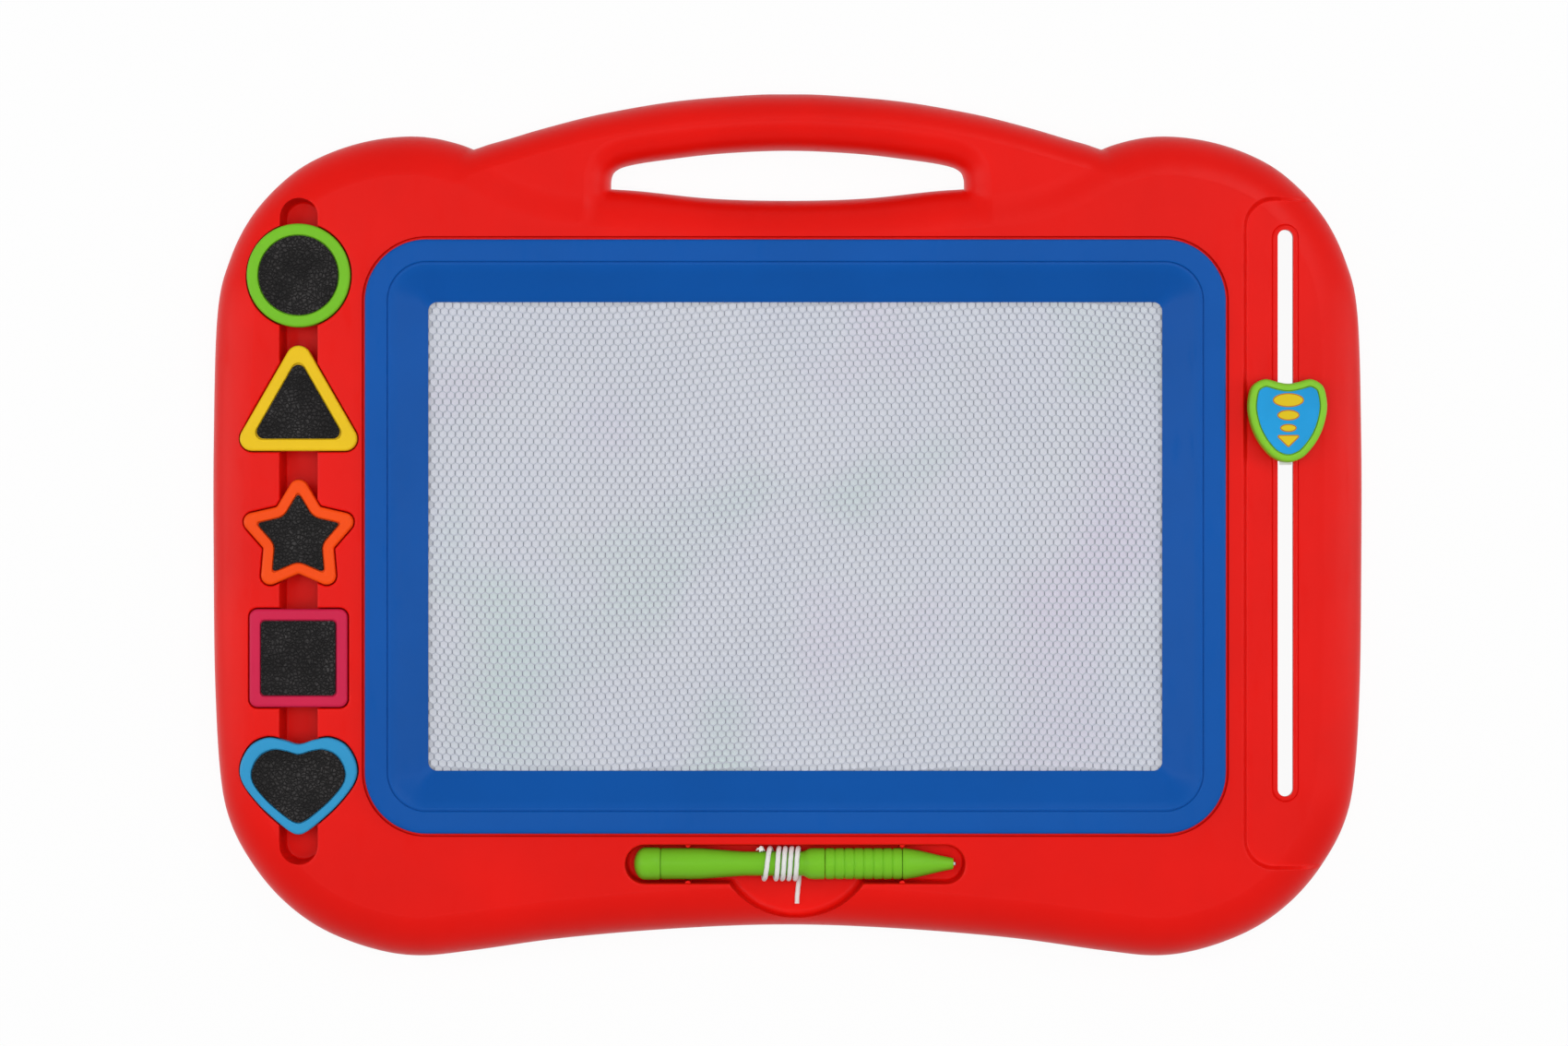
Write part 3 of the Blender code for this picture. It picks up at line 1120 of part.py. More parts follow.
def cord_self_gap(points):
    """Give the least gap between stretches of the cord that aren't neighbours."""
    skip = CORD_POINTS_PER_TURN // 3
    least = min((points[first] - points[second]).length
                for first in range(len(points)) for second in range(first + skip, len(points)))
    return least - CORD_DIAMETER


def cord_length(points):
    """Give the length of a centre line."""
    return sum((after - before).length for before, after in zip(points, points[1:]))


def tube(name, points, resolution, parts):
    """Run a round tube along points."""
    curve = bpy.data.curves.new(name, "CURVE")
    curve.dimensions = "3D"
    curve.bevel_depth = CORD_DIAMETER / 2
    curve.bevel_resolution = resolution
    curve.use_fill_caps = True
    curve.twist_mode = "MINIMUM"
    spline = curve.splines.new("POLY")
    spline.points.add(len(points) - 1)
    for point, place in zip(spline.points, points):
        point.co = (*place, 1)
    return mesh_from_curve(name, curve, parts, (0, 0, 0))


def build_cord(parts):
    """Build the cord's winding and its free tail, each as one unbroken tube."""
    winding = winding_route()
    tail = tail_route(winding[-1])
    whole = winding + tail
    print(f"cord: length {cord_length(whole) * 1000:.1f} mm")
    print(f"cord: least gap to itself {cord_self_gap(whole) * 1000:.2f} mm")
    fibre = make_material("cord fibre", CORD_FIBRE)
    dress(tube("cord_winding", winding, 1, parts), fibre)
    dress(tube("cord_tail", tail, 2, parts), fibre)


def main():
    """Build the board."""
    clear_scene()
    parts = new_collection("magnetic_drawing_board")
    cutters = new_collection("cutters")
    red = make_material("red plastic", RED_PLASTIC)
    dress(build_front_shell(parts, cutters), red)
    dress(build_back_cover(parts, cutters), red)
    build_screen(parts, cutters)
    steel = build_case_screws(parts)
    rubber = build_eraser(parts, cutters, steel)
    build_stamps(parts, cutters, rubber)
    build_pen(parts, steel)
    build_cord(parts)
    for cutter in cutters.objects:
        cutter.hide_render = True
        cutter.display_type = "WIRE"


main()
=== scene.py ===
import logging
import math
import random
from dataclasses import dataclass, field
from enum import Enum

import bmesh
import bpy
import numpy as np
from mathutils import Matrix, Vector
from mathutils.geometry import delaunay_2d_cdt


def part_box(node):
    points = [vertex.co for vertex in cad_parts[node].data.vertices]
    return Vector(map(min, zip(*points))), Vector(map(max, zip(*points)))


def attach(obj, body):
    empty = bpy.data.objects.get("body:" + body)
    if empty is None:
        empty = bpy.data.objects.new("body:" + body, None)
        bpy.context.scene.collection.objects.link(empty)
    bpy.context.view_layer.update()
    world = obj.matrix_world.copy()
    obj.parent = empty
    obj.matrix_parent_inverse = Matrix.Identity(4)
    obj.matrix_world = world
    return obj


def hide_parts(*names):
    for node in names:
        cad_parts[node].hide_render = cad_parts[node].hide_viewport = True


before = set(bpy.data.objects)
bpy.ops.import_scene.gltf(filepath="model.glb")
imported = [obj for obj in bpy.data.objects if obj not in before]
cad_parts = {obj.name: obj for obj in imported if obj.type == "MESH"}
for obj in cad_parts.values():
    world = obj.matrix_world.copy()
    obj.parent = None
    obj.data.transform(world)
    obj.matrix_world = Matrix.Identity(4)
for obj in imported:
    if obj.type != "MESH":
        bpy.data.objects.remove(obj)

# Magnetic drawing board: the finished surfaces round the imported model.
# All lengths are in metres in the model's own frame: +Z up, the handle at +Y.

log = logging.getLogger("drawing_board")

Outline = list[tuple[float, float]]
Shares = tuple[tuple[float, float], ...]
Colour = tuple[int, int, int]

FIT_GAP = 0.0003
WELD_DISTANCE = 0.00001
SMOOTH_ANGLE = math.radians(38)

# Case
HALF_WIDTH = 0.2100
HALF_HEIGHT = 0.1575
FACE_HEIGHT = 0.0240
FRONT_BASE = 0.01015
BACK_TOP = 0.00985
HANDLE_TOP_HEIGHT = 0.0225
HANDLE_BOTTOM_HEIGHT = 0.0015
HANDLE_DEPTH = 0.0665
PANEL_HEIGHT = 0.0220
SLOT_X = 0.1807
SLOT_BOTTOM = -0.0986
SLOT_TOP = 0.1072
SLOT_HALF_WIDTH = 0.0028
SLOT_RIM_WIDTH = 0.0016
BACK_SLOT_MARGIN = 0.0030
STAMP_X = -0.1774
PEN_Y = -0.1231
PEN_Z = 0.0200
PEN_TAIL_X = -0.0558

# Half outlines, from the middle of the top clockwise: shares of half the width and height
BODY_HALF_SHARES: Shares = (
    (0.0, 0.753), (0.133, 0.758), (0.264, 0.776), (0.381, 0.786), (0.452, 0.810),
    (0.510, 0.848), (0.571, 0.884), (0.643, 0.902), (0.724, 0.893), (0.802, 0.861),
    (0.867, 0.810), (0.930, 0.722), (0.971, 0.616), (0.993, 0.486), (0.9995, 0.190),
    (0.9995, -0.095), (0.997, -0.362), (0.988, -0.575), (0.970, -0.690), (0.931, -0.788),
    (0.878, -0.872), (0.810, -0.938), (0.724, -0.983), (0.643, -0.9998), (0.548, -0.988),
    (0.389, -0.959), (0.190, -0.937), (0.0, -0.928),
)
HANDLE_HALF_SHARES: Shares = (
    (0.0, 0.690), (0.121, 0.673), (0.217, 0.638), (0.271, 0.611), (0.297, 0.582),
    (0.3065, 0.533), (0.308, 0.420), (0.316, 0.226), (0.362, 0.060), (0.448, 0.0),
    (0.533, 0.075), (0.595, 0.256), (0.614, 0.467), (0.581, 0.640), (0.533, 0.710),
    (0.484, 0.756), (0.420, 0.816), (0.325, 0.891), (0.198, 0.960), (0.070, 0.995),
    (0.0, 1.0),
)
KNOB_HALF_SHARES: Shares = (
    (0.0, 0.89), (0.26, 0.93), (0.56, 1.0), (0.79, 0.92), (0.93, 0.76), (1.0, 0.39),
    (0.96, 0.05), (0.84, -0.30), (0.64, -0.62), (0.36, -0.89), (0.0, -1.0),
)
HEART_HALF_SHARES: Shares = (
    (0.0, 0.87), (0.27, 0.96), (0.55, 1.0), (0.83, 0.83), (1.0, 0.44), (0.96, 0.07),
    (0.68, -0.38), (0.34, -0.76), (0.13, -0.95), (0.0, -1.0),
)
SCREW_PLACE_SHARES: Shares = (
    (-0.652, 0.790), (0.652, 0.790), (0.012, 0.709), (-0.645, -0.888), (0.645, -0.888),
    (-0.425, -0.862), (0.430, -0.862), (-0.9335, 0.432), (-0.9560, -0.155),
    (0.9420, 0.381), (0.9420, -0.381),
)


class Slot(Enum):
    """The record's material slots."""

    RED = "red_plastic"
    BLUE = "blue_plastic"
    FILM = "screen_film"
    HONEYCOMB = "honeycomb"
    WHITE = "white_plastic"
    GREEN = "green_plastic"
    YELLOW = "yellow_plastic"
    ORANGE = "orange_plastic"
    MAGENTA = "magenta_plastic"
    SKY = "sky_plastic"
    LABEL = "label"
    RUBBER = "magnet_rubber"
    STEEL = "steel"
    CORD = "cord_fibre"


# Outlines


def smooth_closed(points: Outline, steps: int) -> Outline:
    """Run a closed Catmull-Rom curve through points.

    Args:
        points: the corners of the curve's cage.
        steps: how many points each span gets.

    Returns:
        The curve's points.
    """
    curve = []
    count = len(points)
    for index in range(count):
        before, start, end, after = [Vector(points[(index + shift) % count]) for shift in (-1, 0, 1, 2)]
        for step in range(steps):
            t = step / steps
            bend = 2 * before - 5 * start + 4 * end - after
            twist = 3 * start - before - 3 * end + after
            point = (2 * start + (end - before) * t + bend * t ** 2 + twist * t ** 3) / 2
            curve.append((point.x, point.y))
    return curve


def mirrored(half_shares: Shares, half_size: tuple[float, float], steps: int,
             centre: tuple[float, float] = (0.0, 0.0)) -> Outline:
    """Scale half an outline, mirror it and smooth it.

    Args:
        half_shares: the half outline, clockwise from the middle of the top.
        half_size: what the shares are of, across and along.
        steps: how many points each span gets.
        centre: where the outline's middle goes.

    Returns:
        The whole outline, counter-clockwise.
    """
    half = [(x * half_size[0], y * half_size[1]) for x, y in half_shares]
    whole = half + [(-x, y) for x, y in reversed(half[1:-1])]
    smooth = smooth_closed(whole, steps)
    area = sum(x * smooth[index - 1][1] - smooth[index - 1][0] * y for index, (x, y) in enumerate(smooth))
    if area > 0:
        smooth.reverse()
    return [(x + centre[0], y + centre[1]) for x, y in smooth]


def filleted(corners: list[tuple[float, float, float]], steps: int) -> Outline:
    """Round the corners of a polygon.

    Args:
        corners: each corner as (x, y, radius).
        steps: how many steps each round corner gets.

    Returns:
        The rounded outline.
    """
    outline = []
    count = len(corners)
    for index, (x, y, radius) in enumerate(corners):
        corner = Vector((x, y))
        to_last = (Vector(corners[index - 1][:2]) - corner).normalized()
        to_next = (Vector(corners[(index + 1) % count][:2]) - corner).normalized()
        half_angle = to_last.angle(to_next) / 2
        centre = corner + (to_last + to_next).normalized() * radius / math.sin(half_angle)
        start = corner + to_last * radius / math.tan(half_angle) - centre
        end = corner + to_next * radius / math.tan(half_angle) - centre
        turn = math.atan2(start.x * end.y - start.y * end.x, start.dot(end))
        for step in range(steps + 1):
            angle = turn * step / steps
            cosine, sine = math.cos(angle), math.sin(angle)
            outline.append((centre.x + start.x * cosine - start.y * sine,
                            centre.y + start.x * sine + start.y * cosine))
    return outline


def rectangle(low: tuple[float, float], high: tuple[float, float], radius: float, steps: int = 8) -> Outline:
    """Give a rectangle with round corners, counter-clockwise.

    Args:
        low: the lower left corner.
        high: the upper right corner.
        radius: the corners' radius.
        steps: how many steps each corner gets.

    Returns:
        The outline.
    """
    return filleted([(high[0], low[1], radius), (high[0], high[1], radius),
                     (low[0], high[1], radius), (low[0], low[1], radius)], steps)


def circle(centre: tuple[float, float], radius: float, steps: int) -> Outline:
    """Give a circle as a polygon, counter-clockwise."""
    angles = [2 * math.pi * step / steps for step in range(steps)]
    return [(centre[0] + radius * math.cos(angle), centre[1] + radius * math.sin(angle)) for angle in angles]


def quarter_round(size: float, steps: int) -> list[tuple[float, float]]:
    """Give a quarter round as (distance across, distance down) from its two flats.

    Args:
        size: the round's radius.
        steps: how many parts it has.

    Returns:
        The points, from (0, size) to (size, 0).
    """
    angles = [math.pi / 2 * step / steps for step in range(steps + 1)]
    return [(size * (1 - math.cos(angle)), size * (1 - math.sin(angle))) for angle in angles]


def inset(outline: Outline, distance: float, least_cosine: float = 0.3) -> Outline:
    """Move an outline inwards.

    Args:
        outline: a counter-clockwise outline.
        distance: how far it moves in, or out when negative.
        least_cosine: how far a corner may run out, as the least cosine of its half turn.

    Returns:
        The moved outline, with as many points.
    """
    moved = []
    count = len(outline)
    for index, point in enumerate(outline):
        here = Vector(point)
        back = (here - Vector(outline[index - 1])).normalized()
        ahead = (Vector(outline[(index + 1) % count]) - here).normalized()
        normal = (Vector((-back.y, back.x)) + Vector((-ahead.y, ahead.x))).normalized()
        stretch = max(normal.dot(Vector((-ahead.y, ahead.x))), least_cosine)
        here = here + normal * distance / stretch
        moved.append((here.x, here.y))
    return moved


def subdivided(outline: Outline, step: float) -> Outline:
    """Put points on an outline's long sides, so that none is longer than a step."""
    fine = []
    for index, start in enumerate(outline):
        end = outline[(index + 1) % len(outline)]
        count = max(1, math.ceil(math.dist(start, end) / step))
        fine += [(start[0] + (end[0] - start[0]) * part / count,
                  start[1] + (end[1] - start[1]) * part / count)
                 for part in range(count)]
    return fine


def placed(outline: Outline, centre: tuple[float, float]) -> Outline:
    """Move an outline to a centre."""
    return [(x + centre[0], y + centre[1]) for x, y in outline]


def signed_distance(points: np.ndarray, outline: Outline, chunk: int = 2000) -> np.ndarray:
    """Measure how far points lie inside an outline.

    Args:
        points: one (x, y) a row.
        outline: a closed outline.
        chunk: how many points are measured at a time.

    Returns:
        One distance a point, positive inside and negative outside.
    """
    start = np.array(outline)
    end = np.roll(start, -1, axis=0)
    run = end - start
    square = np.maximum((run ** 2).sum(axis=1), 1e-18)
    slope = run[:, 0] / np.where(run[:, 1] == 0, 1, run[:, 1])
    distances = []
    for first in range(0, len(points), chunk):
        part = points[first:first + chunk, None, :]
        along = np.clip(((part - start) * run).sum(axis=2) / square, 0, 1)
        gap = part - (start + along[..., None] * run)
        nearest = np.sqrt((gap ** 2).sum(axis=2).min(axis=1))
        spans = (start[:, 1] > part[..., 1]) != (end[:, 1] > part[..., 1])
        crossings = spans & (part[..., 0] < start[:, 0] + (part[..., 1] - start[:, 1]) * slope)
        inside = crossings.sum(axis=1) % 2 == 1
        distances.append(np.where(inside, nearest, -nearest))
    return np.concatenate(distances)


def smooth_max(first: np.ndarray, second: np.ndarray, blend: float) -> np.ndarray:
    """Give the larger of two heights, with a round crease where they meet."""
    mix = np.clip(0.5 + 0.5 * (first - second) / blend, 0, 1)
    return second * (1 - mix) + first * mix + blend * mix * (1 - mix)


# Meshes and pieces


def mesh_from_shape(name: str, shape: bmesh.types.BMesh, weld: float = WELD_DISTANCE,
                    sharp: float = SMOOTH_ANGLE, turn_out: bool = True) -> bpy.types.Mesh:
    """Turn a bmesh into a welded, smoothly shaded mesh.

    Args:
        name: the mesh's name.
        shape: the bmesh, which is freed.
        weld: points nearer than this are joined.
        sharp: edges that turn by more than this stay sharp.
        turn_out: whether the faces are turned to point out.

    Returns:
        The mesh.
    """
    bmesh.ops.remove_doubles(shape, verts=shape.verts, dist=weld)
    if turn_out:
        bmesh.ops.recalc_face_normals(shape, faces=shape.faces)
    mesh = bpy.data.meshes.new(name)
    shape.to_mesh(mesh)
    shape.free()
    mesh.shade_smooth()
    mesh.set_sharp_from_angle(angle=sharp)
    return mesh


def lofted(name: str, rings: list[tuple[Outline, float]], ring_shaped: bool = False) -> bpy.types.Mesh:
    """Join rings into a closed solid.

    Args:
        name: the mesh's name.
        rings: each ring's outline, with as many points as the others, and its height.
        ring_shaped: whether the last ring joins the first; otherwise both ends are capped.

    Returns:
        The mesh.
    """
    shape = bmesh.new()
    levels = [[shape.verts.new((x, y, height)) for x, y in outline] for outline, height in rings]
    pairs = list(zip(levels, levels[1:]))
    if ring_shaped:
        pairs.append((levels[-1], levels[0]))
    else:
        shape.faces.new(levels[0])
        shape.faces.new(levels[-1])
    for lower, upper in pairs:
        for index in range(len(lower)):
            after = (index + 1) % len(lower)
            shape.faces.new((lower[index], lower[after], upper[after], upper[index]))
    return mesh_from_shape(name, shape)


def turned(name: str, profile: list[tuple[float, float]], centre: Vector, along_x: bool,
           steps: int = 64) -> bpy.types.Mesh:
    """Turn a profile about an axis through a centre.

    Args:
        name: the mesh's name.
        profile: points as (radius, way along the axis), whose ends lie on the axis.
        centre: where the axis starts.
        along_x: whether the axis runs along X; otherwise it runs up.
        steps: how many steps the turn has.

    Returns:
        The mesh, closed at both ends.
    """
    shape = bmesh.new()
    rings = []
    for radius, along in profile:
        ring = []
        for step in range(steps):
            angle = 2 * math.pi * step / steps
            across, up = radius * math.cos(angle), radius * math.sin(angle)
            offset = Vector((along, across, up)) if along_x else Vector((across, up, along))
            ring.append(shape.verts.new(centre + offset))
        rings.append(ring)
    for lower, upper in zip(rings, rings[1:]):
        for index in range(steps):
            after = (index + 1) % steps
            shape.faces.new((lower[index], lower[after], upper[after], upper[index]))
    return mesh_from_shape(name, shape, weld=0.000002)


def add_piece(mesh: bpy.types.Mesh, material: bpy.types.Material, body: str,
              replaces: tuple[str, ...] = ()) -> bpy.types.Object:
    """Link a mesh as a finished piece that rides on a body.

    Args:
        mesh: the mesh, whose name the piece takes.
        material: its finish.
        body: the body that it moves with.
        replaces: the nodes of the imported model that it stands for.

    Returns:
        The piece.
    """
    mesh.materials.clear()
    mesh.materials.append(material)
    piece = bpy.data.objects.new(mesh.name, mesh)
    bpy.context.scene.collection.objects.link(piece)
    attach(piece, body)
    if replaces:
        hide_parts(*replaces)
    log.info("%s: %d faces on %s", piece.name, len(mesh.polygons), body)
    return piece


def dress_nodes(material: bpy.types.Material, *names: str) -> None:
    """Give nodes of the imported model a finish."""
    for name in names:
        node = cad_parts[name]
        if not node.material_slots:
            node.data.materials.append(material)
        for material_slot in node.material_slots:
            material_slot.material = material
        log.info("%s: dressed with %s", name, material.name)


# Finishes


def linear(colour: Colour) -> tuple[float, float, float, float]:
    """Turn an 8-bit sRGB colour into a linear one."""
    values = [channel / 255 for channel in colour]
    bent = [value / 12.92 if value <= 0.04045 else ((value + 0.055) / 1.055) ** 2.4 for value in values]
    return (*bent, 1.0)


class Graph:
    """A small helper that adds and links nodes in one material's tree."""

    def __init__(self, name: str) -> None:
        """Start a material with a Principled shader."""
        self.material = bpy.data.materials.new(name)
        self.material.use_nodes = True
        self.tree = self.material.node_tree
        self.shader = self.tree.nodes["Principled BSDF"]
        self.place = self.tree.nodes.new("ShaderNodeTexCoord").outputs["Object"]

    def node(self, kind: str, **settings: object) -> bpy.types.Node:
        """Add a node.

        Args:
            kind: the node's type.
            **settings: properties of the node.

        Returns:
            The node.
        """
        made = self.tree.nodes.new(kind)
        for key, value in settings.items():
            setattr(made, key, value)
        return made

    def link(self, source: bpy.types.NodeSocket, target: bpy.types.NodeSocket) -> None:
        """Join an output to an input."""
        self.tree.links.new(source, target)

    def noise(self, size: float, detail: float = 3.0, stretch: tuple[float, float, float] | None = None,
              rough: float = 0.5) -> bpy.types.NodeSocket:
        """Add a noise pattern.

        Args:
            size: the size of one blotch.
            detail: how many finer layers it has.
            stretch: how many times longer a blotch is along X, Y and Z.
            rough: how strong the finer layers are.

        Returns:
            The pattern's value.
        """
        pattern = self.node("ShaderNodeTexNoise")
        pattern.inputs["Scale"].default_value = 1 / size
        pattern.inputs["Detail"].default_value = detail
        pattern.inputs["Roughness"].default_value = rough
        source = self.place
        if stretch:
            mapping = self.node("ShaderNodeMapping")
            mapping.inputs["Scale"].default_value = [1 / share for share in stretch]
            self.link(self.place, mapping.inputs["Vector"])
            source = mapping.outputs["Vector"]
        self.link(source, pattern.inputs["Vector"])
        return pattern.outputs["Fac"]

    def ramp(self, value: bpy.types.NodeSocket, stops: list[tuple[float, tuple]],
             smooth: bool = False) -> bpy.types.NodeSocket:
        """Turn a value into colours.

        Args:
            value: what drives the ramp.
            stops: each stop as (place, linear colour).
            smooth: whether the ramp eases between stops.

        Returns:
            The ramp's colour.
        """
        made = self.node("ShaderNodeValToRGB")
        made.color_ramp.interpolation = "EASE" if smooth else "LINEAR"
        elements = made.color_ramp.elements
        while len(elements) < len(stops):
            elements.new(0.5)
        for element, (place, colour) in zip(elements, stops):
            element.position = place
            element.color = colour
        self.link(value, made.inputs["Fac"])
        return made.outputs["Color"]

    def spread(self, value: bpy.types.NodeSocket, low: float, high: float, to_low: float,
               to_high: float) -> bpy.types.NodeSocket:
        """Map a value from one range to another, clamped."""
        made = self.node("ShaderNodeMapRange")
        for key, number in (("From Min", low), ("From Max", high), ("To Min", to_low), ("To Max", to_high)):
            made.inputs[key].default_value = number
        self.link(value, made.inputs["Value"])
        return made.outputs["Result"]

    def product(self, first: bpy.types.NodeSocket, second: bpy.types.NodeSocket) -> bpy.types.NodeSocket:
        """Multiply two values."""
        made = self.node("ShaderNodeMath", operation="MULTIPLY")
        self.link(first, made.inputs[0])
        self.link(second, made.inputs[1])
        return made.outputs[0]

    def bump(self, height: bpy.types.NodeSocket, depth: float,
             under: bpy.types.NodeSocket | None = None) -> bpy.types.NodeSocket:
        """Raise a pattern.

        Args:
            height: the pattern's value, from 0 to 1.
            depth: how high a value of 1 stands.
            under: the normal of a bump below this one.

        Returns:
            The bumped normal.
        """
        made = self.node("ShaderNodeBump")
        made.inputs["Distance"].default_value = depth
        self.link(height, made.inputs["Height"])
        if under:
            self.link(under, made.inputs["Normal"])
        return made.outputs["Normal"]


@dataclass(frozen=True)
class Plastic:
    """Moulded plastic: faint mottling, a fine skin, and light scuffs in its gloss."""

    name: str
    colour: Colour
    roughness: float = 0.36
    mottle: float = 0.05
    grain_size: float = 0.0011
    grain_depth: float = 0.000012
    scuff_rise: float = 0.16
    specular: float = 0.16
    soft_light: float = 0.0

    def material(self) -> bpy.types.Material:
        """Build the material.

        Returns:
            The finished material.
        """
        graph = Graph(self.name)
        shader = graph.shader
        base = linear(self.colour)
        dark = tuple(channel * (1 - self.mottle) for channel in base[:3]) + (1.0,)
        light = tuple(min(1.0, channel * (1 + self.mottle)) for channel in base[:3]) + (1.0,)
        cloud = graph.noise(0.045, detail=4)
        graph.link(graph.ramp(cloud, [(0.3, dark), (0.7, light)]), shader.inputs["Base Color"])
        scuffs = graph.noise(0.0035, detail=6, stretch=(1.0, 5.0, 1.0), rough=0.65)
        graph.link(graph.spread(scuffs, 0.55, 0.75, self.roughness, self.roughness + self.scuff_rise),
                   shader.inputs["Roughness"])
        skin = graph.bump(graph.noise(self.grain_size, detail=2), self.grain_depth)
        wave = graph.bump(graph.noise(0.022, detail=1), 0.00012, skin)
        graph.link(wave, shader.inputs["Normal"])
        shader.inputs["Specular IOR Level"].default_value = self.specular
        if self.soft_light:
            shader.inputs["Subsurface Weight"].default_value = self.soft_light
            shader.inputs["Subsurface Scale"].default_value = 0.0015
            shader.inputs["Subsurface Radius"].default_value = (1.0, 1.0, 1.0)
        return graph.material


@dataclass(frozen=True)
class Rubber:
    """Magnet rubber with a leathery grain of pebbles between fine creases; its colour is painted shade in the
    creases and a painted highlight on the pebbles.
    """

    name: str
    crease_shade: Colour
    pebble_highlight: Colour
    pebble: float = 0.0013
    roughness: float = 0.48
    grain_depth: float = 0.0009

    def material(self) -> bpy.types.Material:
        """Build the material.

        Returns:
            The finished material.
        """
        graph = Graph(self.name)
        shader = graph.shader
        wobble = graph.node("ShaderNodeTexNoise")
        wobble.inputs["Scale"].default_value = 1 / (1.6 * self.pebble)
        graph.link(graph.place, wobble.inputs["Vector"])
        drift = graph.node("ShaderNodeVectorMath", operation="MULTIPLY_ADD")
        graph.link(wobble.outputs["Color"], drift.inputs[0])
        drift.inputs[1].default_value = (1.4 * self.pebble, 1.4 * self.pebble, 1.4 * self.pebble)
        graph.link(graph.place, drift.inputs[2])
        pebbles = graph.node("ShaderNodeTexVoronoi", feature="DISTANCE_TO_EDGE")
        pebbles.inputs["Scale"].default_value = 1 / self.pebble
        graph.link(drift.outputs["Vector"], pebbles.inputs["Vector"])
        height = graph.spread(pebbles.outputs["Distance"], 0.02, 0.30, 0.0, 1.0)
        rough = graph.noise(0.0012, detail=6, rough=0.7)
        patches = graph.noise(0.011, detail=3)
        grain = graph.product(height, graph.spread(rough, 0.35, 0.65, 0.3, 1.0))
        shade_to_highlight = graph.product(grain, graph.spread(patches, 0.35, 0.65, 0.35, 1.0))
        # Painted shade and highlight: the grain's height, in random patches, turns the colour from dark in
        # the creases to light on the pebble tops.
        graph.link(graph.ramp(shade_to_highlight, [(0.0, linear(self.crease_shade)), (0.9, linear(self.pebble_highlight))]),
                   shader.inputs["Base Color"])
        graph.link(graph.bump(grain, self.grain_depth), shader.inputs["Normal"])
        shader.inputs["Roughness"].default_value = self.roughness
        shader.inputs["Specular IOR Level"].default_value = 0.13
        return graph.material


@dataclass(frozen=True)
class Film:
    """Clear film, slightly milky."""

    name: str
    colour: Colour = (226, 230, 238)
    cover: float = 0.09

    def material(self) -> bpy.types.Material:
        """Build the material.

        Returns:
            The finished material.
        """
        graph = Graph(self.name)
        shader = graph.shader
        haze = graph.noise(0.030, detail=3)
        graph.link(graph.spread(haze, 0.3, 0.7, 0.22, 0.34), shader.inputs["Roughness"])
        graph.link(graph.ramp(haze, [(0.3, linear(self.colour)), (0.7, linear((236, 238, 240)))]),
                   shader.inputs["Base Color"])
        shader.inputs["Alpha"].default_value = self.cover
        shader.inputs["Specular IOR Level"].default_value = 0.16
        return graph.material


@dataclass(frozen=True)
class CellFloor:
    """The white powdery floor of the cells, with faint green and lavender tints over the screen."""

    name: str
    plain: Colour = (246, 248, 254)
    green: Colour = (234, 248, 245)
    lavender: Colour = (246, 240, 253)
    patch: float = 0.075

    def material(self) -> bpy.types.Material:
        """Build the material.

        Returns:
            The finished material.
        """
        graph = Graph(self.name)
        tint = graph.noise(self.patch, detail=2)
        stops = [(0.30, linear(self.green)), (0.45, linear(self.plain)), (0.58, linear(self.plain)),
                 (0.74, linear(self.lavender))]
        graph.link(graph.ramp(tint, stops), graph.shader.inputs["Base Color"])
        graph.link(graph.bump(graph.noise(0.0004, detail=2), 0.00003), graph.shader.inputs["Normal"])
        graph.shader.inputs["Roughness"].default_value = 0.8
        graph.shader.inputs["Specular IOR Level"].default_value = 0.1
        return graph.material


@dataclass(frozen=True)
class Metal:
    """Plain metal with fine turning marks."""

    name: str
    colour: Colour = (178, 180, 184)
    roughness: float = 0.28

    def material(self) -> bpy.types.Material:
        """Build the material.

        Returns:
            The finished material.
        """
        graph = Graph(self.name)
        shader = graph.shader
        marks = graph.noise(0.0006, detail=4)
        graph.link(graph.ramp(marks, [(0.3, linear(self.colour)), (0.8, linear((205, 206, 208)))]),
                   shader.inputs["Base Color"])
        graph.link(graph.spread(marks, 0.3, 0.7, self.roughness, self.roughness + 0.12),
                   shader.inputs["Roughness"])
        shader.inputs["Metallic"].default_value = 1.0
        return graph.material


@dataclass(frozen=True)
class Fibre:
    """White twisted cord."""

    name: str
    light: Colour = (252, 251, 248)
    shade: Colour = (224, 223, 220)

    def material(self) -> bpy.types.Material:
        """Build the material, whose yarns follow the cord's own UV map.

        Returns:
            The finished material.
        """
        graph = Graph(self.name)
        shader = graph.shader
        along = graph.node("ShaderNodeTexCoord").outputs["UV"]
        yarns = graph.node("ShaderNodeTexNoise")
        yarns.inputs["Scale"].default_value = 40.0
        yarns.inputs["Detail"].default_value = 4.0
        graph.link(along, yarns.inputs["Vector"])
        graph.link(graph.ramp(yarns.outputs["Fac"], [(0.3, linear(self.shade)), (0.6, linear(self.light))]),
                   shader.inputs["Base Color"])
        graph.link(graph.bump(yarns.outputs["Fac"], 0.00008), shader.inputs["Normal"])
        shader.inputs["Roughness"].default_value = 0.85
        shader.inputs["Sheen Weight"].default_value = 0.2
        shader.inputs["Specular IOR Level"].default_value = 0.2
        return graph.material


RED = Plastic("red plastic", (234, 20, 12))
BLUE = Plastic("blue plastic", (6, 84, 168), roughness=0.42)
GREEN = Plastic("green plastic", (120, 194, 40), soft_light=0.06)
KNOB_GREEN = Plastic("knob green plastic", (138, 206, 52), soft_light=0.06)
YELLOW = Plastic("yellow plastic", (242, 200, 30))
ORANGE = Plastic("orange plastic", (254, 80, 14))
MAGENTA = Plastic("magenta plastic", (208, 34, 76))
SKY = Plastic("sky blue plastic", (52, 154, 206))
WHITE = Plastic("white plastic", (236, 236, 232), roughness=0.4)
LABEL_BLUE = Plastic("label blue print", (32, 162, 228), roughness=0.3, mottle=0.14)
LABEL_YELLOW = Plastic("label yellow print", (230, 200, 28), roughness=0.3, mottle=0.05)
LABEL_BROWN = Plastic("label brown print", (190, 118, 40), roughness=0.35, mottle=0.06)
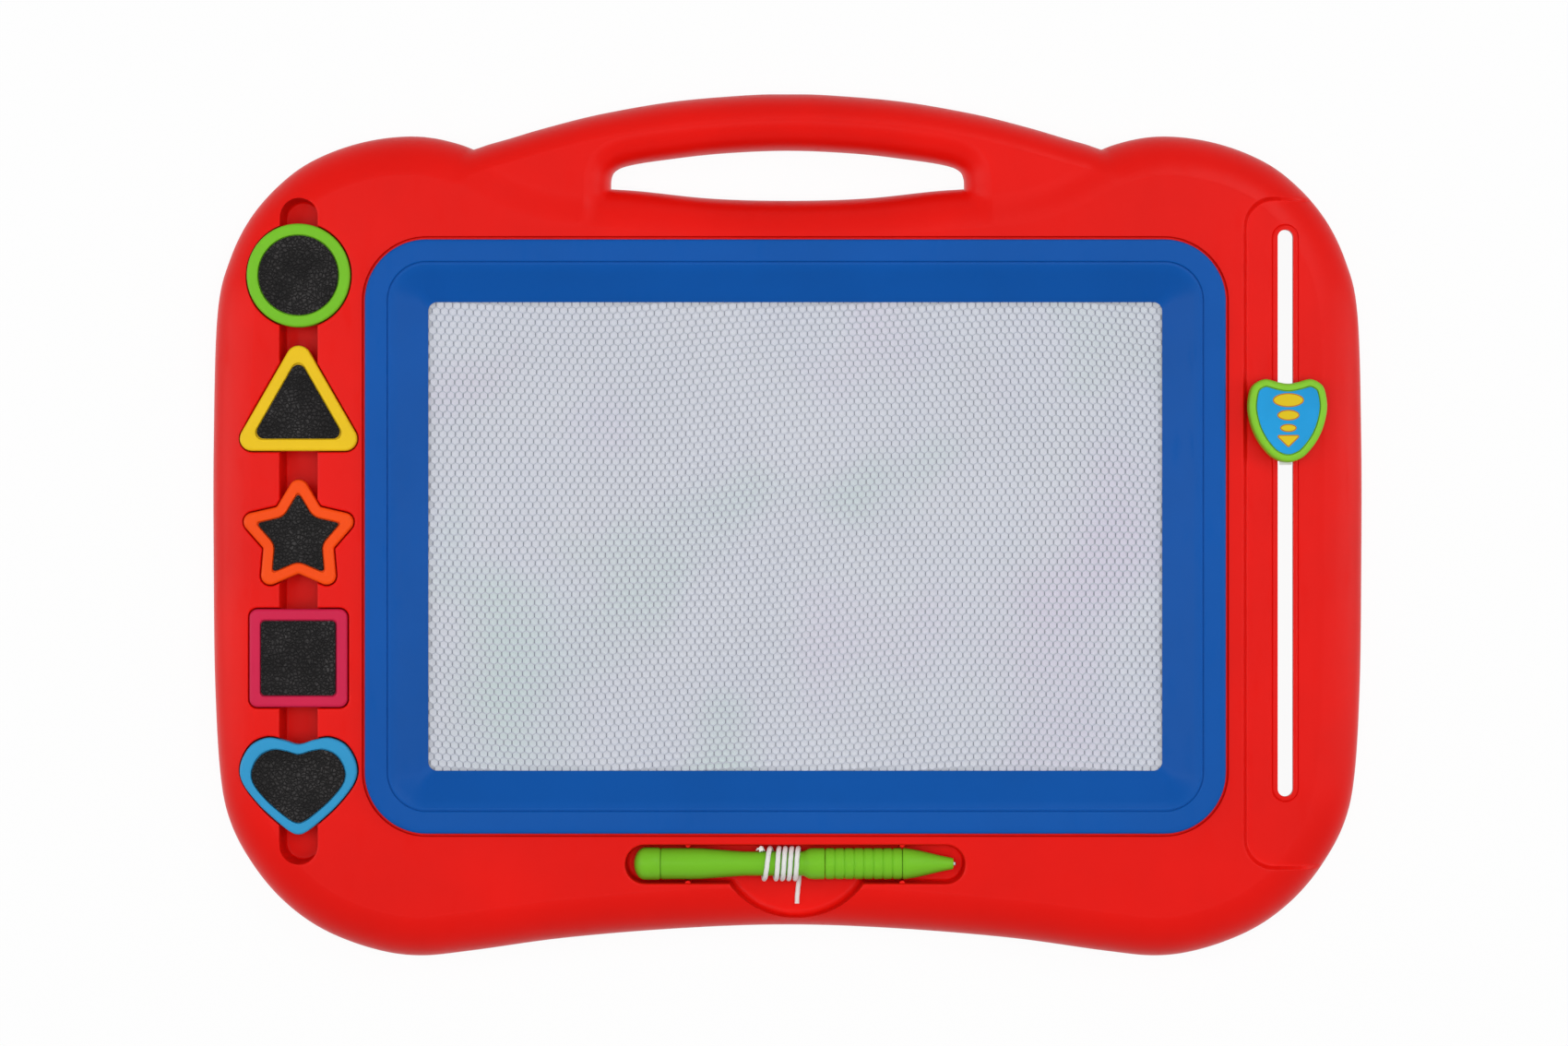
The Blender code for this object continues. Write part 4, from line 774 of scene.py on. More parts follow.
# The two colours are painted shade for the creases and a painted highlight for the pebble tops.
MAGNET = Rubber("magnet rubber", (13, 12, 12), (98, 95, 95))
STEEL = Metal("steel")
CORD_WHITE = Fibre("white cord fibre")
# One wall material in two copies: the upright walls are darker as painted shade, and the slanted walls are
# lighter as the lit copy.
HONEYCOMB_UPRIGHT_SHADED = Plastic("honeycomb upright walls", (134, 138, 152), roughness=0.5, mottle=0.06)
HONEYCOMB_SLANT_LIT = Plastic("honeycomb slanted walls", (208, 212, 224), roughness=0.5, mottle=0.05)
CELL_FLOOR = CellFloor("honeycomb cell floor")


# Case


@dataclass
class Recess:
    """A hollow in a case half, with a round lip, a drafted wall and a round foot.

    Heights are measured from the parting plane, away from the board's middle.
    """

    outline: Outline
    floor: float
    face: float
    lip: float = 0.0006
    foot: float = 0.0008
    draft: float = 0.0003
    arc_steps: int = 3
    wall: float = 0.0022

    def profile(self) -> tuple[list[float], list[float]]:
        """Give the wall's section.

        Returns:
            The distances inside the outline, and the height at each.
        """
        distances, heights = [], []
        for step in range(self.arc_steps + 1):
            angle = math.pi / 2 * step / self.arc_steps
            distances.append(-self.lip + self.lip * math.sin(angle))
            heights.append(self.face - self.lip * (1 - math.cos(angle)))
        for step in range(self.arc_steps + 1):
            angle = math.pi / 2 * step / self.arc_steps
            distances.append(self.draft + self.foot * (1 - math.cos(angle)))
            heights.append(self.floor + self.foot * (1 - math.sin(angle)))
        return distances, heights

    def height(self, points: np.ndarray, inward: float) -> np.ndarray:
        """Give the hollow's surface, or infinity outside it.

        Args:
            points: one (x, y) a row.
            inward: how far below the outer surface the wanted layer lies.

        Returns:
            One height a point.
        """
        distance = signed_distance(points, self.outline) + inward
        if inward:
            inner = np.interp(distance, (0, self.draft), (self.face, self.floor - inward))
            return np.where(distance < 0, np.inf, inner)
        distances, heights = self.profile()
        return np.where(distance < -self.lip, np.inf, np.interp(distance, distances, heights))

    def loops(self, step: float) -> list[Outline]:
        """Give the loops of points that the hollow's edge needs.

        Args:
            step: the greatest distance between a loop's points.

        Returns:
            The loops, from outside to inside.
        """
        distances = self.profile()[0]
        margin = 0.0004
        wanted = [-self.wall, -self.wall + self.draft, -self.lip - margin, *distances, distances[-1] + margin]
        return [subdivided(inset(self.outline, distance), step) for distance in wanted]


@dataclass
class SunkPanel(Recess):
    """A wide shallow panel, whose floor follows the case's rolled edge at a step below it."""

    def share(self, points: np.ndarray) -> np.ndarray:
        """Say how far down its wall each point lies, from 0 on the face to 1 on the floor."""
        distances, heights = self.profile()
        fallen = [(self.face - height) / (self.face - self.floor) for height in heights]
        return np.interp(signed_distance(points, self.outline), distances, fallen)


@dataclass
class Raised:
    """A low rim or nub that stands up from a hollow's floor."""

    outline: Outline
    top: float
    edge: float = 0.0003
    drop: float = 0.0100

    def height(self, points: np.ndarray) -> np.ndarray:
        """Give the rim's surface, which falls steeply outside its outline."""
        distance = signed_distance(points, self.outline)
        return np.interp(distance, (-2 * self.edge, -self.edge, 0, self.edge),
                         (self.top - 2 * self.drop, self.top - self.drop, self.top - self.edge / 2, self.top))

    def loops(self, step: float) -> list[Outline]:
        """Give the loops of points that the rim's edge needs."""
        return [subdivided(inset(self.outline, distance), step) for distance in (-self.edge, 0, self.edge)]


@dataclass
class CaseHalf:
    """One half of the red case, as a thin shell shaped by heights over the parting plane."""

    name: str
    parting: float
    up: int
    rise: float
    handle_rise: float
    roll: float
    handle_roll: float = 0.0094
    wall: float = 0.0022
    web: float = 0.0030
    last_angle: float = math.radians(82)
    roll_steps: int = 11
    handle_steps: int = 8
    ring_step: float = 0.0026
    grid_step: float = 0.0075
    panels: list[SunkPanel] = field(default_factory=list)
    recesses: list[Recess] = field(default_factory=list)
    raised: list[Raised] = field(default_factory=list)
    grooves: list[tuple[Outline, float, float, float]] = field(default_factory=list)
    holes: list[Outline] = field(default_factory=list)

    def __post_init__(self) -> None:
        """Draw the two outlines that the edge follows."""
        self.body = mirrored(BODY_HALF_SHARES, (HALF_WIDTH, HALF_HEIGHT), 8)
        self.handle = mirrored(HANDLE_HALF_SHARES, (HALF_WIDTH, HANDLE_DEPTH), 6,
                               (0.0, HALF_HEIGHT - HANDLE_DEPTH))

    def rolled(self, distance: np.ndarray, rise: float, roll: float) -> np.ndarray:
        """Give the rolled edge's height at a distance inside an outline.

        Args:
            distance: distances inside the outline.
            rise: the height of the flat beyond the roll.
            roll: the roll's width.

        Returns:
            One height a distance, falling steeply outside the outline.
        """
        share = np.clip(distance / roll, 0, 1)
        angle = np.arccos(1 - share * (1 - math.cos(self.last_angle)))
        height = rise * np.sin(angle) / math.sin(self.last_angle)
        return np.where(distance < 0, 3 * distance, height)

    def height(self, points: np.ndarray, inward: float = 0.0) -> np.ndarray:
        """Give the shell's height over the parting plane.

        Args:
            points: one (x, y) a row.
            inward: how far below the outer surface the wanted layer lies.

        Returns:
            One height a point.
        """
        depth = signed_distance(points, self.body) - inward
        body = self.rolled(depth, self.rise - inward, self.roll - inward)
        handle = self.rolled(signed_distance(points, self.handle) - inward, self.handle_rise - inward,
                             self.handle_roll - inward)
        height = np.clip(smooth_max(body, handle, self.web), 0, self.rise - inward)
        for panel in self.panels:
            sunk = self.rolled(depth, self.rise - (panel.face - panel.floor) - inward, self.roll - inward)
            height = height + panel.share(points) * np.minimum(np.maximum(sunk, 0) - height, 0)
        for outline, middle, half_width, groove_depth in self.grooves:
            if not inward:
                near = np.abs(signed_distance(points, outline) - middle) / half_width
                height = height - groove_depth * np.clip(2.5 * (1 - near), 0, 1)
        for recess in self.recesses:
            height = np.minimum(height, recess.height(points, inward))
        if not inward:
            for rim in self.raised:
                height = np.maximum(height, np.minimum(rim.height(points), self.rise))
        return height

    def loops(self) -> list[Outline]:
        """Give every loop of points that the edges, hollows and rims need.

        Returns:
            The loops.
        """
        loops = []
        for outline, roll, steps in ((self.body, self.roll, self.roll_steps),
                                     (self.handle, self.handle_roll, self.handle_steps)):
            for step in range(steps + 1):
                angle = self.last_angle * step / steps
                loops.append(inset(outline, roll * (1 - math.cos(angle)) / (1 - math.cos(self.last_angle))))
            loops.append(inset(outline, roll + 0.0005))
        for outline, middle, half_width, _ in self.grooves:
            for share in (-1.0, -0.6, 0.6, 1.0):
                loops.append(subdivided(inset(outline, middle + half_width * share), 2 * self.ring_step))
        for feature in (*self.panels, *self.recesses, *self.raised):
            loops += feature.loops(self.ring_step)
        loops += [subdivided(hole, self.ring_step) for hole in self.holes]
        return loops

    def kept(self, middles: np.ndarray) -> np.ndarray:
        """Say which triangles lie on the shell.

        Args:
            middles: the triangles' middles.

        Returns:
            True for each that does.
        """
        inside = (signed_distance(middles, self.body) > 0) | (signed_distance(middles, self.handle) > 0)
        for hole in self.holes:
            inside &= signed_distance(middles, hole) < 0
        return inside

    def plan(self) -> tuple[np.ndarray, np.ndarray]:
        """Triangulate the shell's plan with edges along every loop.

        Returns:
            The points, and the triangles on the shell.
        """
        loops = self.loops()
        points, edges = [], []
        for loop in loops:
            first = len(points)
            points += loop
            edges += [(first + index, first + (index + 1) % len(loop)) for index in range(len(loop))]
        xs = np.arange(-HALF_WIDTH, HALF_WIDTH, self.grid_step)
        ys = np.arange(-HALF_HEIGHT, HALF_HEIGHT, self.grid_step)
        grid = np.array([(x, y) for x in xs for y in ys])
        clear = (signed_distance(grid, self.body) > self.roll + self.ring_step) & self.kept(grid)
        for feature in (*self.panels, *self.recesses, *self.raised):
            clear &= np.abs(signed_distance(grid, feature.outline)) > 2 * self.ring_step
        points += [tuple(point) for point in grid[clear]]
        flat = [Vector(point) for point in points]
        vertices, _, faces, _, _, _ = delaunay_2d_cdt(flat, edges, [], 0, WELD_DISTANCE / 2, False)
        corners = np.array([(vertex.x, vertex.y) for vertex in vertices])
        triangles = np.array([face for face in faces if len(face) == 3])
        return corners, triangles[self.kept(corners[triangles].mean(axis=1))]

    def build(self) -> bpy.types.Mesh:
        """Build the closed shell: its outer skin, its inner skin and the walls between.

        Returns:
            The mesh.
        """
        corners, triangles = self.plan()
        outer = self.height(corners)
        inner = np.minimum(self.height(corners, self.wall), outer)
        count = len(corners)
        heights = self.parting + self.up * np.concatenate((outer, inner))
        places = np.column_stack((np.tile(corners, (2, 1)), heights))
        if self.up < 0:
            triangles = triangles[:, ::-1]
        sides = {}
        for a, b, c in triangles.tolist():
            for side in ((a, b), (b, c), (c, a)):
                sides[side] = True
        rims = [side for side in sides if (side[1], side[0]) not in sides]
        faces = triangles.tolist() + (triangles[:, ::-1] + count).tolist()
        faces += [(b, a, a + count, b + count) for a, b in rims]
        mesh = bpy.data.meshes.new(self.name)
        mesh.from_pydata(places.tolist(), [], faces)
        shape = bmesh.new()
        shape.from_mesh(mesh)
        bpy.data.meshes.remove(mesh)
        loose = [vertex for vertex in shape.verts if not vertex.link_faces]
        bmesh.ops.delete(shape, geom=loose, context="VERTS")
        return mesh_from_shape(self.name, shape, turn_out=False)


@dataclass
class Bezel:
    """The blue frame: a flat band, a fine groove and a long slope down to the screen."""

    half_width: float = 0.1560
    half_height: float = 0.1077
    centre: tuple[float, float] = (0.0028, -0.0042)
    radius: float = 0.0224
    inner_radius: float = 0.0032
    band: float = 0.0090
    slope_run: float = 0.0134
    top: float = 0.0260
    seat: float = 0.0243
    screen_height: float = 0.0171
    edge_round: float = 0.0009
    shell_overlap: float = 0.0050
    wall: float = 0.0026
    groove_depth: float = 0.00075
    corner_steps: int = 20

    def outline(self, inward: float) -> Outline:
        """Give the frame's outline at a distance in from its outer edge."""
        radius = max(self.radius - inward, self.inner_radius)
        half = (self.half_width - inward, self.half_height - inward)
        low = (self.centre[0] - half[0], self.centre[1] - half[1])
        high = (self.centre[0] + half[0], self.centre[1] + half[1])
        return rectangle(low, high, radius, self.corner_steps)

    def section(self) -> list[tuple[float, float]]:
        """Give the frame's section, from the foot of its outer edge over its top and back.

        Returns:
            Points as (distance in from the outer edge, height).
        """
        section = [(0.0, self.seat)]
        section += [(across, self.top - down) for across, down in quarter_round(self.edge_round, 4)]
        inset_end = self.band + self.slope_run
        lip = self.screen_height + FIT_GAP
        slope_end = lip + 0.0005
        groove = self.band - 0.0007
        floor = self.top - self.groove_depth
        section += [(self.edge_round + 0.0006, self.top), (groove - 0.0008, self.top),
                    (groove - 0.00045, self.top - 0.00003), (groove - 0.00020, self.top - 0.00025),
                    (groove - 0.00010, floor), (groove + 0.00016, floor),
                    (groove + 0.00022, self.top - 0.00030),
                    (self.band, self.top - 0.00022)]
        for share in (0.03, 0.25, 0.5, 0.75, 0.93):
            sag = 0.0002 * math.sin(math.pi * share)
            section.append((self.band + self.slope_run * share,
                            self.top + (slope_end - self.top) * share - sag))
        section += [(inset_end - 0.0004, slope_end + 0.00012), (inset_end, slope_end - 0.0001),
                    (inset_end, lip)]
        skirt_in = inset_end - 0.0062
        skirt_out = skirt_in - 0.0024
        skirt_foot = lip - 0.0022
        slope = (self.top - slope_end) / self.slope_run
        rib = self.shell_overlap + FIT_GAP
        section += [(skirt_in, lip), (skirt_in, skirt_foot), (skirt_out, skirt_foot),
                    (skirt_out, self.top - slope * (skirt_out - self.band) - self.wall - 0.0002),
                    (rib + 0.0020, self.top - self.wall - 0.0002), (rib + 0.0020, self.seat - 0.0026),
                    (rib, self.seat - 0.0026), (rib, self.seat)]
        return section

    def build(self) -> None:
        """Build and dress the frame."""
        rings = [(self.outline(inward), height) for inward, height in self.section()]
        mesh = lofted("bezel_frame", rings, ring_shaped=True)
        add_piece(mesh, BLUE.material(), "board", ("screen_bezel",))


@dataclass
class Case:
    """The two halves of the red case, with the hollows that hold the stamps, pen and eraser."""

    bezel: Bezel
    stamps: list["Stamp"]
    pen_floor: float = 0.0130
    thumb_floor: float = 0.0127
    stamp_floor: float = 0.0177
    stamp_margin: float = 0.0005
    channel_floor: float = 0.0064
    channel_half_width: float = 0.00685
    channel_ends: tuple[float, float] = (-0.12311, 0.11871)
    channel_radius: float = 0.0068
    pen_ends: tuple[float, float] = (-0.0589, 0.0644)
    pen_half_width: float = 0.00705
    pen_radius: float = 0.0070
    thumb_x: float = 0.0032
    thumb_above_pen: float = 0.0095
    thumb_radius: float = 0.0294
    gate_centre: tuple[float, float] = (0.0029, -0.1449)
    gate_radius: float = 0.0007
    gate_depth: float = 0.0004
    panel_low: tuple[float, float] = (0.1655, -0.1250)
    panel_high: tuple[float, float] = (0.2270, 0.1190)
    panel_radius: float = 0.0110
    rim_height: float = 0.0004
    rim_groove: tuple[float, float, float] = (0.0, 0.0005, 0.0004)
    bezel_groove: tuple[float, float, float] = (-0.0001, 0.0011, 0.0012)
    nub_places: tuple[float, float] = (-0.0362, 0.0416)
    nub_radius: float = 0.0010
    nub_rise: float = 0.0028
    saddle_half_width: float = 0.0008
    saddle_top: float = 0.01405
    pocket_half_width: float = 0.0090
    pocket_margin: float = 0.0040
    pocket_radius: float = 0.0089
    pocket_depth: float = 0.0040
    screw_hole_radius: float = 0.0030
    screw_hole_depth: float = 0.0038

    def front_recesses(self) -> list[Recess]:
        """List the hollows of the front half.

        Returns:
            The channel, stamp, pen and thumb hollows, and the moulding mark.
        """
        face = FACE_HEIGHT - FRONT_BASE
        channel = rectangle((STAMP_X - self.channel_half_width, self.channel_ends[0]),
                            (STAMP_X + self.channel_half_width, self.channel_ends[1]), self.channel_radius)
        hollows = [Recess(channel, self.channel_floor - FRONT_BASE, face)]
        for stamp in self.stamps:
            spot = placed(stamp.outline(-self.stamp_margin), (STAMP_X, stamp.middle))
            hollows.append(Recess(spot, self.stamp_floor - FRONT_BASE, face, lip=0.0005))
        pen = rectangle((self.pen_ends[0], PEN_Y - self.pen_half_width),
                        (self.pen_ends[1], PEN_Y + self.pen_half_width), self.pen_radius)
        hollows.append(Recess(pen, self.pen_floor - FRONT_BASE, face))
        thumb_centre = (self.thumb_x, PEN_Y + self.thumb_above_pen)
        radius = self.thumb_radius
        half_angle = math.acos((thumb_centre[1] - PEN_Y) / radius)
        angles = [-math.pi / 2 - half_angle + 2 * half_angle * step / 40 for step in range(41)]
        thumb = [(thumb_centre[0] + radius * math.cos(angle), thumb_centre[1] + radius * math.sin(angle))
                 for angle in angles]
        hollows.append(Recess(thumb, self.thumb_floor - FRONT_BASE, face, foot=0.0020))
        gate = circle(self.gate_centre, self.gate_radius, 12)
        hollows.append(Recess(gate, face - self.gate_depth, face, lip=0.0002, foot=0.0002, draft=0.0001))
        return hollows

    def panel(self) -> SunkPanel:
        """Give the panel that the eraser slot lies in, which runs out over the right edge."""
        outline = rectangle(self.panel_low, self.panel_high, self.panel_radius)
        return SunkPanel(outline, PANEL_HEIGHT - FRONT_BASE, FACE_HEIGHT - FRONT_BASE,
                         lip=0.0004, foot=0.0005, draft=0.0010)

    def slot(self, margin: float) -> Outline:
        """Give the eraser slot's outline with a margin round it."""
        half_width = SLOT_HALF_WIDTH + margin
        low = (SLOT_X - half_width, SLOT_BOTTOM - margin)
        high = (SLOT_X + half_width, SLOT_TOP + margin)
        return rectangle(low, high, half_width * 0.999)

    def front_rims(self) -> list[Raised]:
        """List what stands up in the front half's hollows.

        Returns:
            The slot's rim, and the pen's nubs and saddles.
        """
        rims = [Raised(self.slot(SLOT_RIM_WIDTH), PANEL_HEIGHT + self.rim_height - FRONT_BASE, edge=0.00040)]
        for x in self.nub_places:
            for side in (-1, 1):
                spot = circle((x, PEN_Y + side * self.pen_half_width), self.nub_radius, 16)
                rims.append(Raised(spot, PEN_Z + self.nub_rise - FRONT_BASE))
            saddle = rectangle((x - self.saddle_half_width, PEN_Y - self.pen_half_width),
                               (x + self.saddle_half_width, PEN_Y + self.pen_half_width), 0.0001, 2)
            rims.append(Raised(saddle, self.saddle_top - FRONT_BASE))
        return rims

    def back_recesses(self) -> list[Recess]:
        """List the hollows of the back half.

        Returns:
            The rear slider's pocket and the screws' holes.
        """
        low = (SLOT_X - self.pocket_half_width, SLOT_BOTTOM - self.pocket_margin)
        high = (SLOT_X + self.pocket_half_width, SLOT_TOP + self.pocket_margin)
        pocket = rectangle(low, high, self.pocket_radius, 12)
        hollows = [Recess(pocket, BACK_TOP - self.pocket_depth, BACK_TOP, lip=0.0004)]
        for x_share, y_share in SCREW_PLACE_SHARES:
            hole = circle((x_share * HALF_WIDTH, y_share * HALF_HEIGHT), self.screw_hole_radius, 24)
            hollows.append(Recess(hole, BACK_TOP - self.screw_hole_depth, BACK_TOP, lip=0.0003, foot=0.0003))
        return hollows

    def build(self) -> None:
        """Build and dress both halves."""
        red = RED.material()
        window = self.bezel.outline(self.bezel.shell_overlap)
        front = CaseHalf("front_case", FRONT_BASE, 1, FACE_HEIGHT - FRONT_BASE,
                         HANDLE_TOP_HEIGHT - FRONT_BASE, 0.0150, panels=[self.panel()],
                         recesses=self.front_recesses(),
                         raised=self.front_rims(), holes=[window, self.slot(0.0)],
                         grooves=[(self.bezel.outline(0.0), *self.bezel_groove),
                                  (self.slot(SLOT_RIM_WIDTH), *self.rim_groove)])
        add_piece(front.build(), red, "board", ("front_shell",))
        back = CaseHalf("back_case", BACK_TOP, -1, BACK_TOP, BACK_TOP - HANDLE_BOTTOM_HEIGHT, 0.0120,
                        recesses=self.back_recesses(), holes=[self.slot(BACK_SLOT_MARGIN)])
        add_piece(back.build(), red, "board", ("back_cover",))


# Stamps


@dataclass
class Stamp:
    """One stamp: a coloured frame with a knob below it, and a black rubber magnet."""

    name: str
    middle: float
    border: float
    finish: Plastic
    slot: Slot
    plate_base: float = 0.0180
    plate_top: float = 0.0244
    edge_round: float = 0.0010
    magnet_top: float = 0.0249
    magnet_seat: float = 0.0230
    knob_base: float = 0.0067
    knob_radius: float = 0.0049
    knob_round: float = 0.0016
    magnet_round: float = 0.0004

    def outline(self, inward: float) -> Outline:
        """Give the stamp's outline, moved inwards, or outwards by a negative distance."""
        if self.name == "circle":
            return circle((0.0, 0.0), 0.0188 - inward, 96)
        if self.name == "heart":
            return mirrored(HEART_HALF_SHARES, (0.0211 - inward, 0.01755 - inward), 7)
        if self.name == "triangle":
            corners = [(0.0246, -0.0214), (0.0, 0.0214), (-0.0246, -0.0214)]
            return self.rounded(corners, inward, 0.0045, 0.0025)
        if self.name == "star":
            points = [(math.pi / 2 + index * math.pi / 5, 0.0134 if index % 2 else 0.0240)
                      for index in range(10)]
            corners = [(radius * math.cos(angle), radius * math.sin(angle)) for angle, radius in points]
            return self.rounded(corners, inward, 0.0034, 0.0008, valley=0.0015)
        corners = [(0.0178, -0.0178), (0.0178, 0.0178), (-0.0178, 0.0178), (-0.0178, -0.0178)]
        return self.rounded(corners, inward, 0.0030, 0.0015)

    def rounded(self, corners: Outline, inward: float, radius: float, least: float,
                valley: float = 0.0) -> Outline:
        """Move a polygon's sides inwards, then round its corners.

        Args:
            corners: the polygon, counter-clockwise.
            inward: how far the sides move.
            radius: the radius of an outer corner before the move.
            least: the least radius of any corner.
            valley: the radius of every second corner, where it points inwards.

        Returns:
            The outline.
        """
        moved = inset(corners, inward)
        rounds = []
        for index, (x, y) in enumerate(moved):
            if valley and index % 2:
                rounds.append((x, y, max(valley + inward, least)))
            else:
                rounds.append((x, y, max(radius - inward, least)))
        return filleted(rounds, 8)

    def rings(self, steps: list[tuple[float, float]]) -> list[tuple[Outline, float]]:
        """Give the stamp's rings from (distance in, height) steps."""
        return [(placed(self.outline(inward), (STAMP_X, self.middle)), height) for inward, height in steps]

    def build(self, rubber: bpy.types.Material) -> None:
        """Build and dress the frame with its knob, and the magnet.

        Args:
            rubber: the magnet's finish.
        """
        body = f"{self.name}_stamp"
        turn = quarter_round(self.edge_round, 4)
        low = [(down, self.plate_base + across) for across, down in turn]
        high = [(across, self.plate_top - down) for across, down in turn]
        well = self.border - FIT_GAP
        steps = low + high + [(self.edge_round + 0.0005, self.plate_top), (well - 0.0007, self.plate_top),
                              (well - 0.0003, self.plate_top), (well - 0.00008, self.plate_top - 0.00015),
                              (well, self.plate_top - 0.0004), (well, self.magnet_seat)]
        plate = lofted(f"{self.name}_frame", self.rings(steps))
        centre = Vector((STAMP_X, self.middle, 0))
        side = [(self.knob_radius - down, self.knob_base + across)
                for across, down in quarter_round(self.knob_round, 4)]
        knob_top = self.plate_base + 0.0002
        profile = [(0.0, self.knob_base), *side, (self.knob_radius * 0.9, self.knob_base + 0.0060),
                   (self.knob_radius, knob_top), (0.0, knob_top)]
        knob = turned(f"{self.name}_knob", profile, centre, along_x=False, steps=40)
        shape = bmesh.new()
        shape.from_mesh(plate)
        shape.from_mesh(knob)
        joined = bpy.data.meshes.new(f"{self.name}_stamp_frame")
        shape.to_mesh(joined)
        shape.free()
        joined.shade_smooth()
        joined.set_sharp_from_angle(angle=SMOOTH_ANGLE)
        add_piece(joined, self.finish.material(), body, (f"{self.name}_stamp_body",))
        top = [(self.border + across, self.magnet_top - down)
               for across, down in quarter_round(self.magnet_round, 4)]
        steps = [(self.border, self.magnet_seat + FIT_GAP), *top,
                 (self.border + self.magnet_round + 0.0004, self.magnet_top)]
        magnet = lofted(f"{self.name}_magnet", self.rings(steps))
        add_piece(magnet, rubber, body, (f"{self.name}_stamp_magnet",))


# Geometry Nodes


class Grower:
    """A small helper that builds one Geometry Nodes tree and runs it into a plain mesh."""

    def __init__(self, name: str, inputs: dict[str, object]) -> None:
        """Start a tree with named inputs.

        Args:
            name: the tree's name.
            inputs: each input's name and value, whose type gives the socket's type.
        """
        self.name = name
        self.values = inputs
        self.tree = bpy.data.node_groups.new(name, "GeometryNodeTree")
        face = self.tree.interface
        face.new_socket("Geometry", in_out="INPUT", socket_type="NodeSocketGeometry")
        kinds = {int: "NodeSocketInt", float: "NodeSocketFloat", tuple: "NodeSocketVector",
                 bpy.types.Material: "NodeSocketMaterial"}
        for label, value in inputs.items():
            face.new_socket(label, in_out="INPUT", socket_type=kinds[type(value)])
        face.new_socket("Geometry", in_out="OUTPUT", socket_type="NodeSocketGeometry")
        self.given = self.node("NodeGroupInput").outputs

    def node(self, kind: str, settings: dict[str, object] | None = None, **inputs: object) -> bpy.types.Node:
        """Add a node.

        Args:
            kind: the node's type.
            settings: properties of the node.
            **inputs: what its inputs get, a socket or a value each, with _ for a space in a name.

        Returns:
            The node.
        """
        made = self.tree.nodes.new(kind)
        for key, value in (settings or {}).items():
            setattr(made, key, value)
        for key, value in inputs.items():
            self.feed(value, made.inputs[key.replace("_", " ")])
        return made

    def feed(self, value: object, target: bpy.types.NodeSocket) -> None:
        """Link a socket to an input, or set the input to a value."""
        if isinstance(value, bpy.types.NodeSocket):
            self.tree.links.new(value, target)
        else:
            target.default_value = value

    def sum(self, operation: str, first: object, second: object = 0.0) -> bpy.types.NodeSocket:
        """Add one sum of numbers, where each side is a socket or a number."""
        made = self.node("ShaderNodeMath", {"operation": operation})
        for index, side in enumerate((first, second)):
            self.feed(side, made.inputs[index])
        return made.outputs[0]

    def vectors(self, operation: str, first: object, second: object) -> bpy.types.NodeSocket:
        """Add one sum of vectors, where each side is a socket or a vector."""
        made = self.node("ShaderNodeVectorMath", {"operation": operation})
        for index, side in enumerate((first, second)):
            self.feed(side, made.inputs[index])
        return made.outputs[0]

    def vector(self, x: object = 0.0, y: object = 0.0, z: object = 0.0) -> bpy.types.NodeSocket:
        """Join three numbers to a vector."""
        return self.node("ShaderNodeCombineXYZ", X=x, Y=y, Z=z).outputs[0]

    def split(self, vector: bpy.types.NodeSocket) -> list[bpy.types.NodeSocket]:
        """Split a vector into its three numbers."""
        return list(self.node("ShaderNodeSeparateXYZ", Vector=vector).outputs)

    def position(self) -> bpy.types.NodeSocket:
        """Give each point's position."""
        return self.node("GeometryNodeInputPosition").outputs[0]

    def moved(self, geometry: bpy.types.NodeSocket, **inputs: object) -> bpy.types.NodeSocket:
        """Set or offset points' positions."""
        return self.node("GeometryNodeSetPosition", Geometry=geometry, **inputs).outputs[0]

    def block(self, size: object, place: tuple[float, float, float],
              turn: float = 0.0) -> bpy.types.NodeSocket:
        """Add a block of a size, moved and turned about Z."""
        cube = self.node("GeometryNodeMeshCube", Size=size)
        return self.node("GeometryNodeTransform", Geometry=cube.outputs["Mesh"], Translation=place,
                         Rotation=(0.0, 0.0, turn)).outputs[0]

    def grow(self, copies: bpy.types.NodeSocket, points: list[Vector],
             waved: bpy.types.NodeSocket | None = None) -> bpy.types.Mesh:
        """Finish the tree, run it on a few points and keep its result as a plain mesh.

        Args:
            copies: the instances that the tree makes.
            points: the points that the tree starts from.
            waved: an offset for the points of the realized copies.

        Returns:
            The mesh.
        """
        real = self.node("GeometryNodeRealizeInstances", Geometry=copies).outputs[0]
        if waved:
            real = self.moved(real, Offset=waved)
        paint = self.node("GeometryNodeSetMaterial", Geometry=real, Material=self.given["Material"])
        self.tree.links.new(paint.outputs[0], self.node("NodeGroupOutput").inputs[0])
        seeds = bpy.data.meshes.new(f"{self.name}_places")
        seeds.from_pydata(points, [], [])
        host = bpy.data.objects.new(self.name, seeds)
        bpy.context.scene.collection.objects.link(host)
        modifier = host.modifiers.new(self.name, "NODES")
        modifier.node_group = self.tree
        for item in self.tree.interface.items_tree:
            if item.in_out == "INPUT" and item.name in self.values:
                modifier[item.identifier] = self.values[item.name]
        evaluated = host.evaluated_get(bpy.context.evaluated_depsgraph_get())
        mesh = bpy.data.meshes.new_from_object(evaluated)
        host.modifiers.clear()
        bpy.data.objects.remove(host, do_unlink=True)
        mesh.name = self.name
        return mesh


# Screen


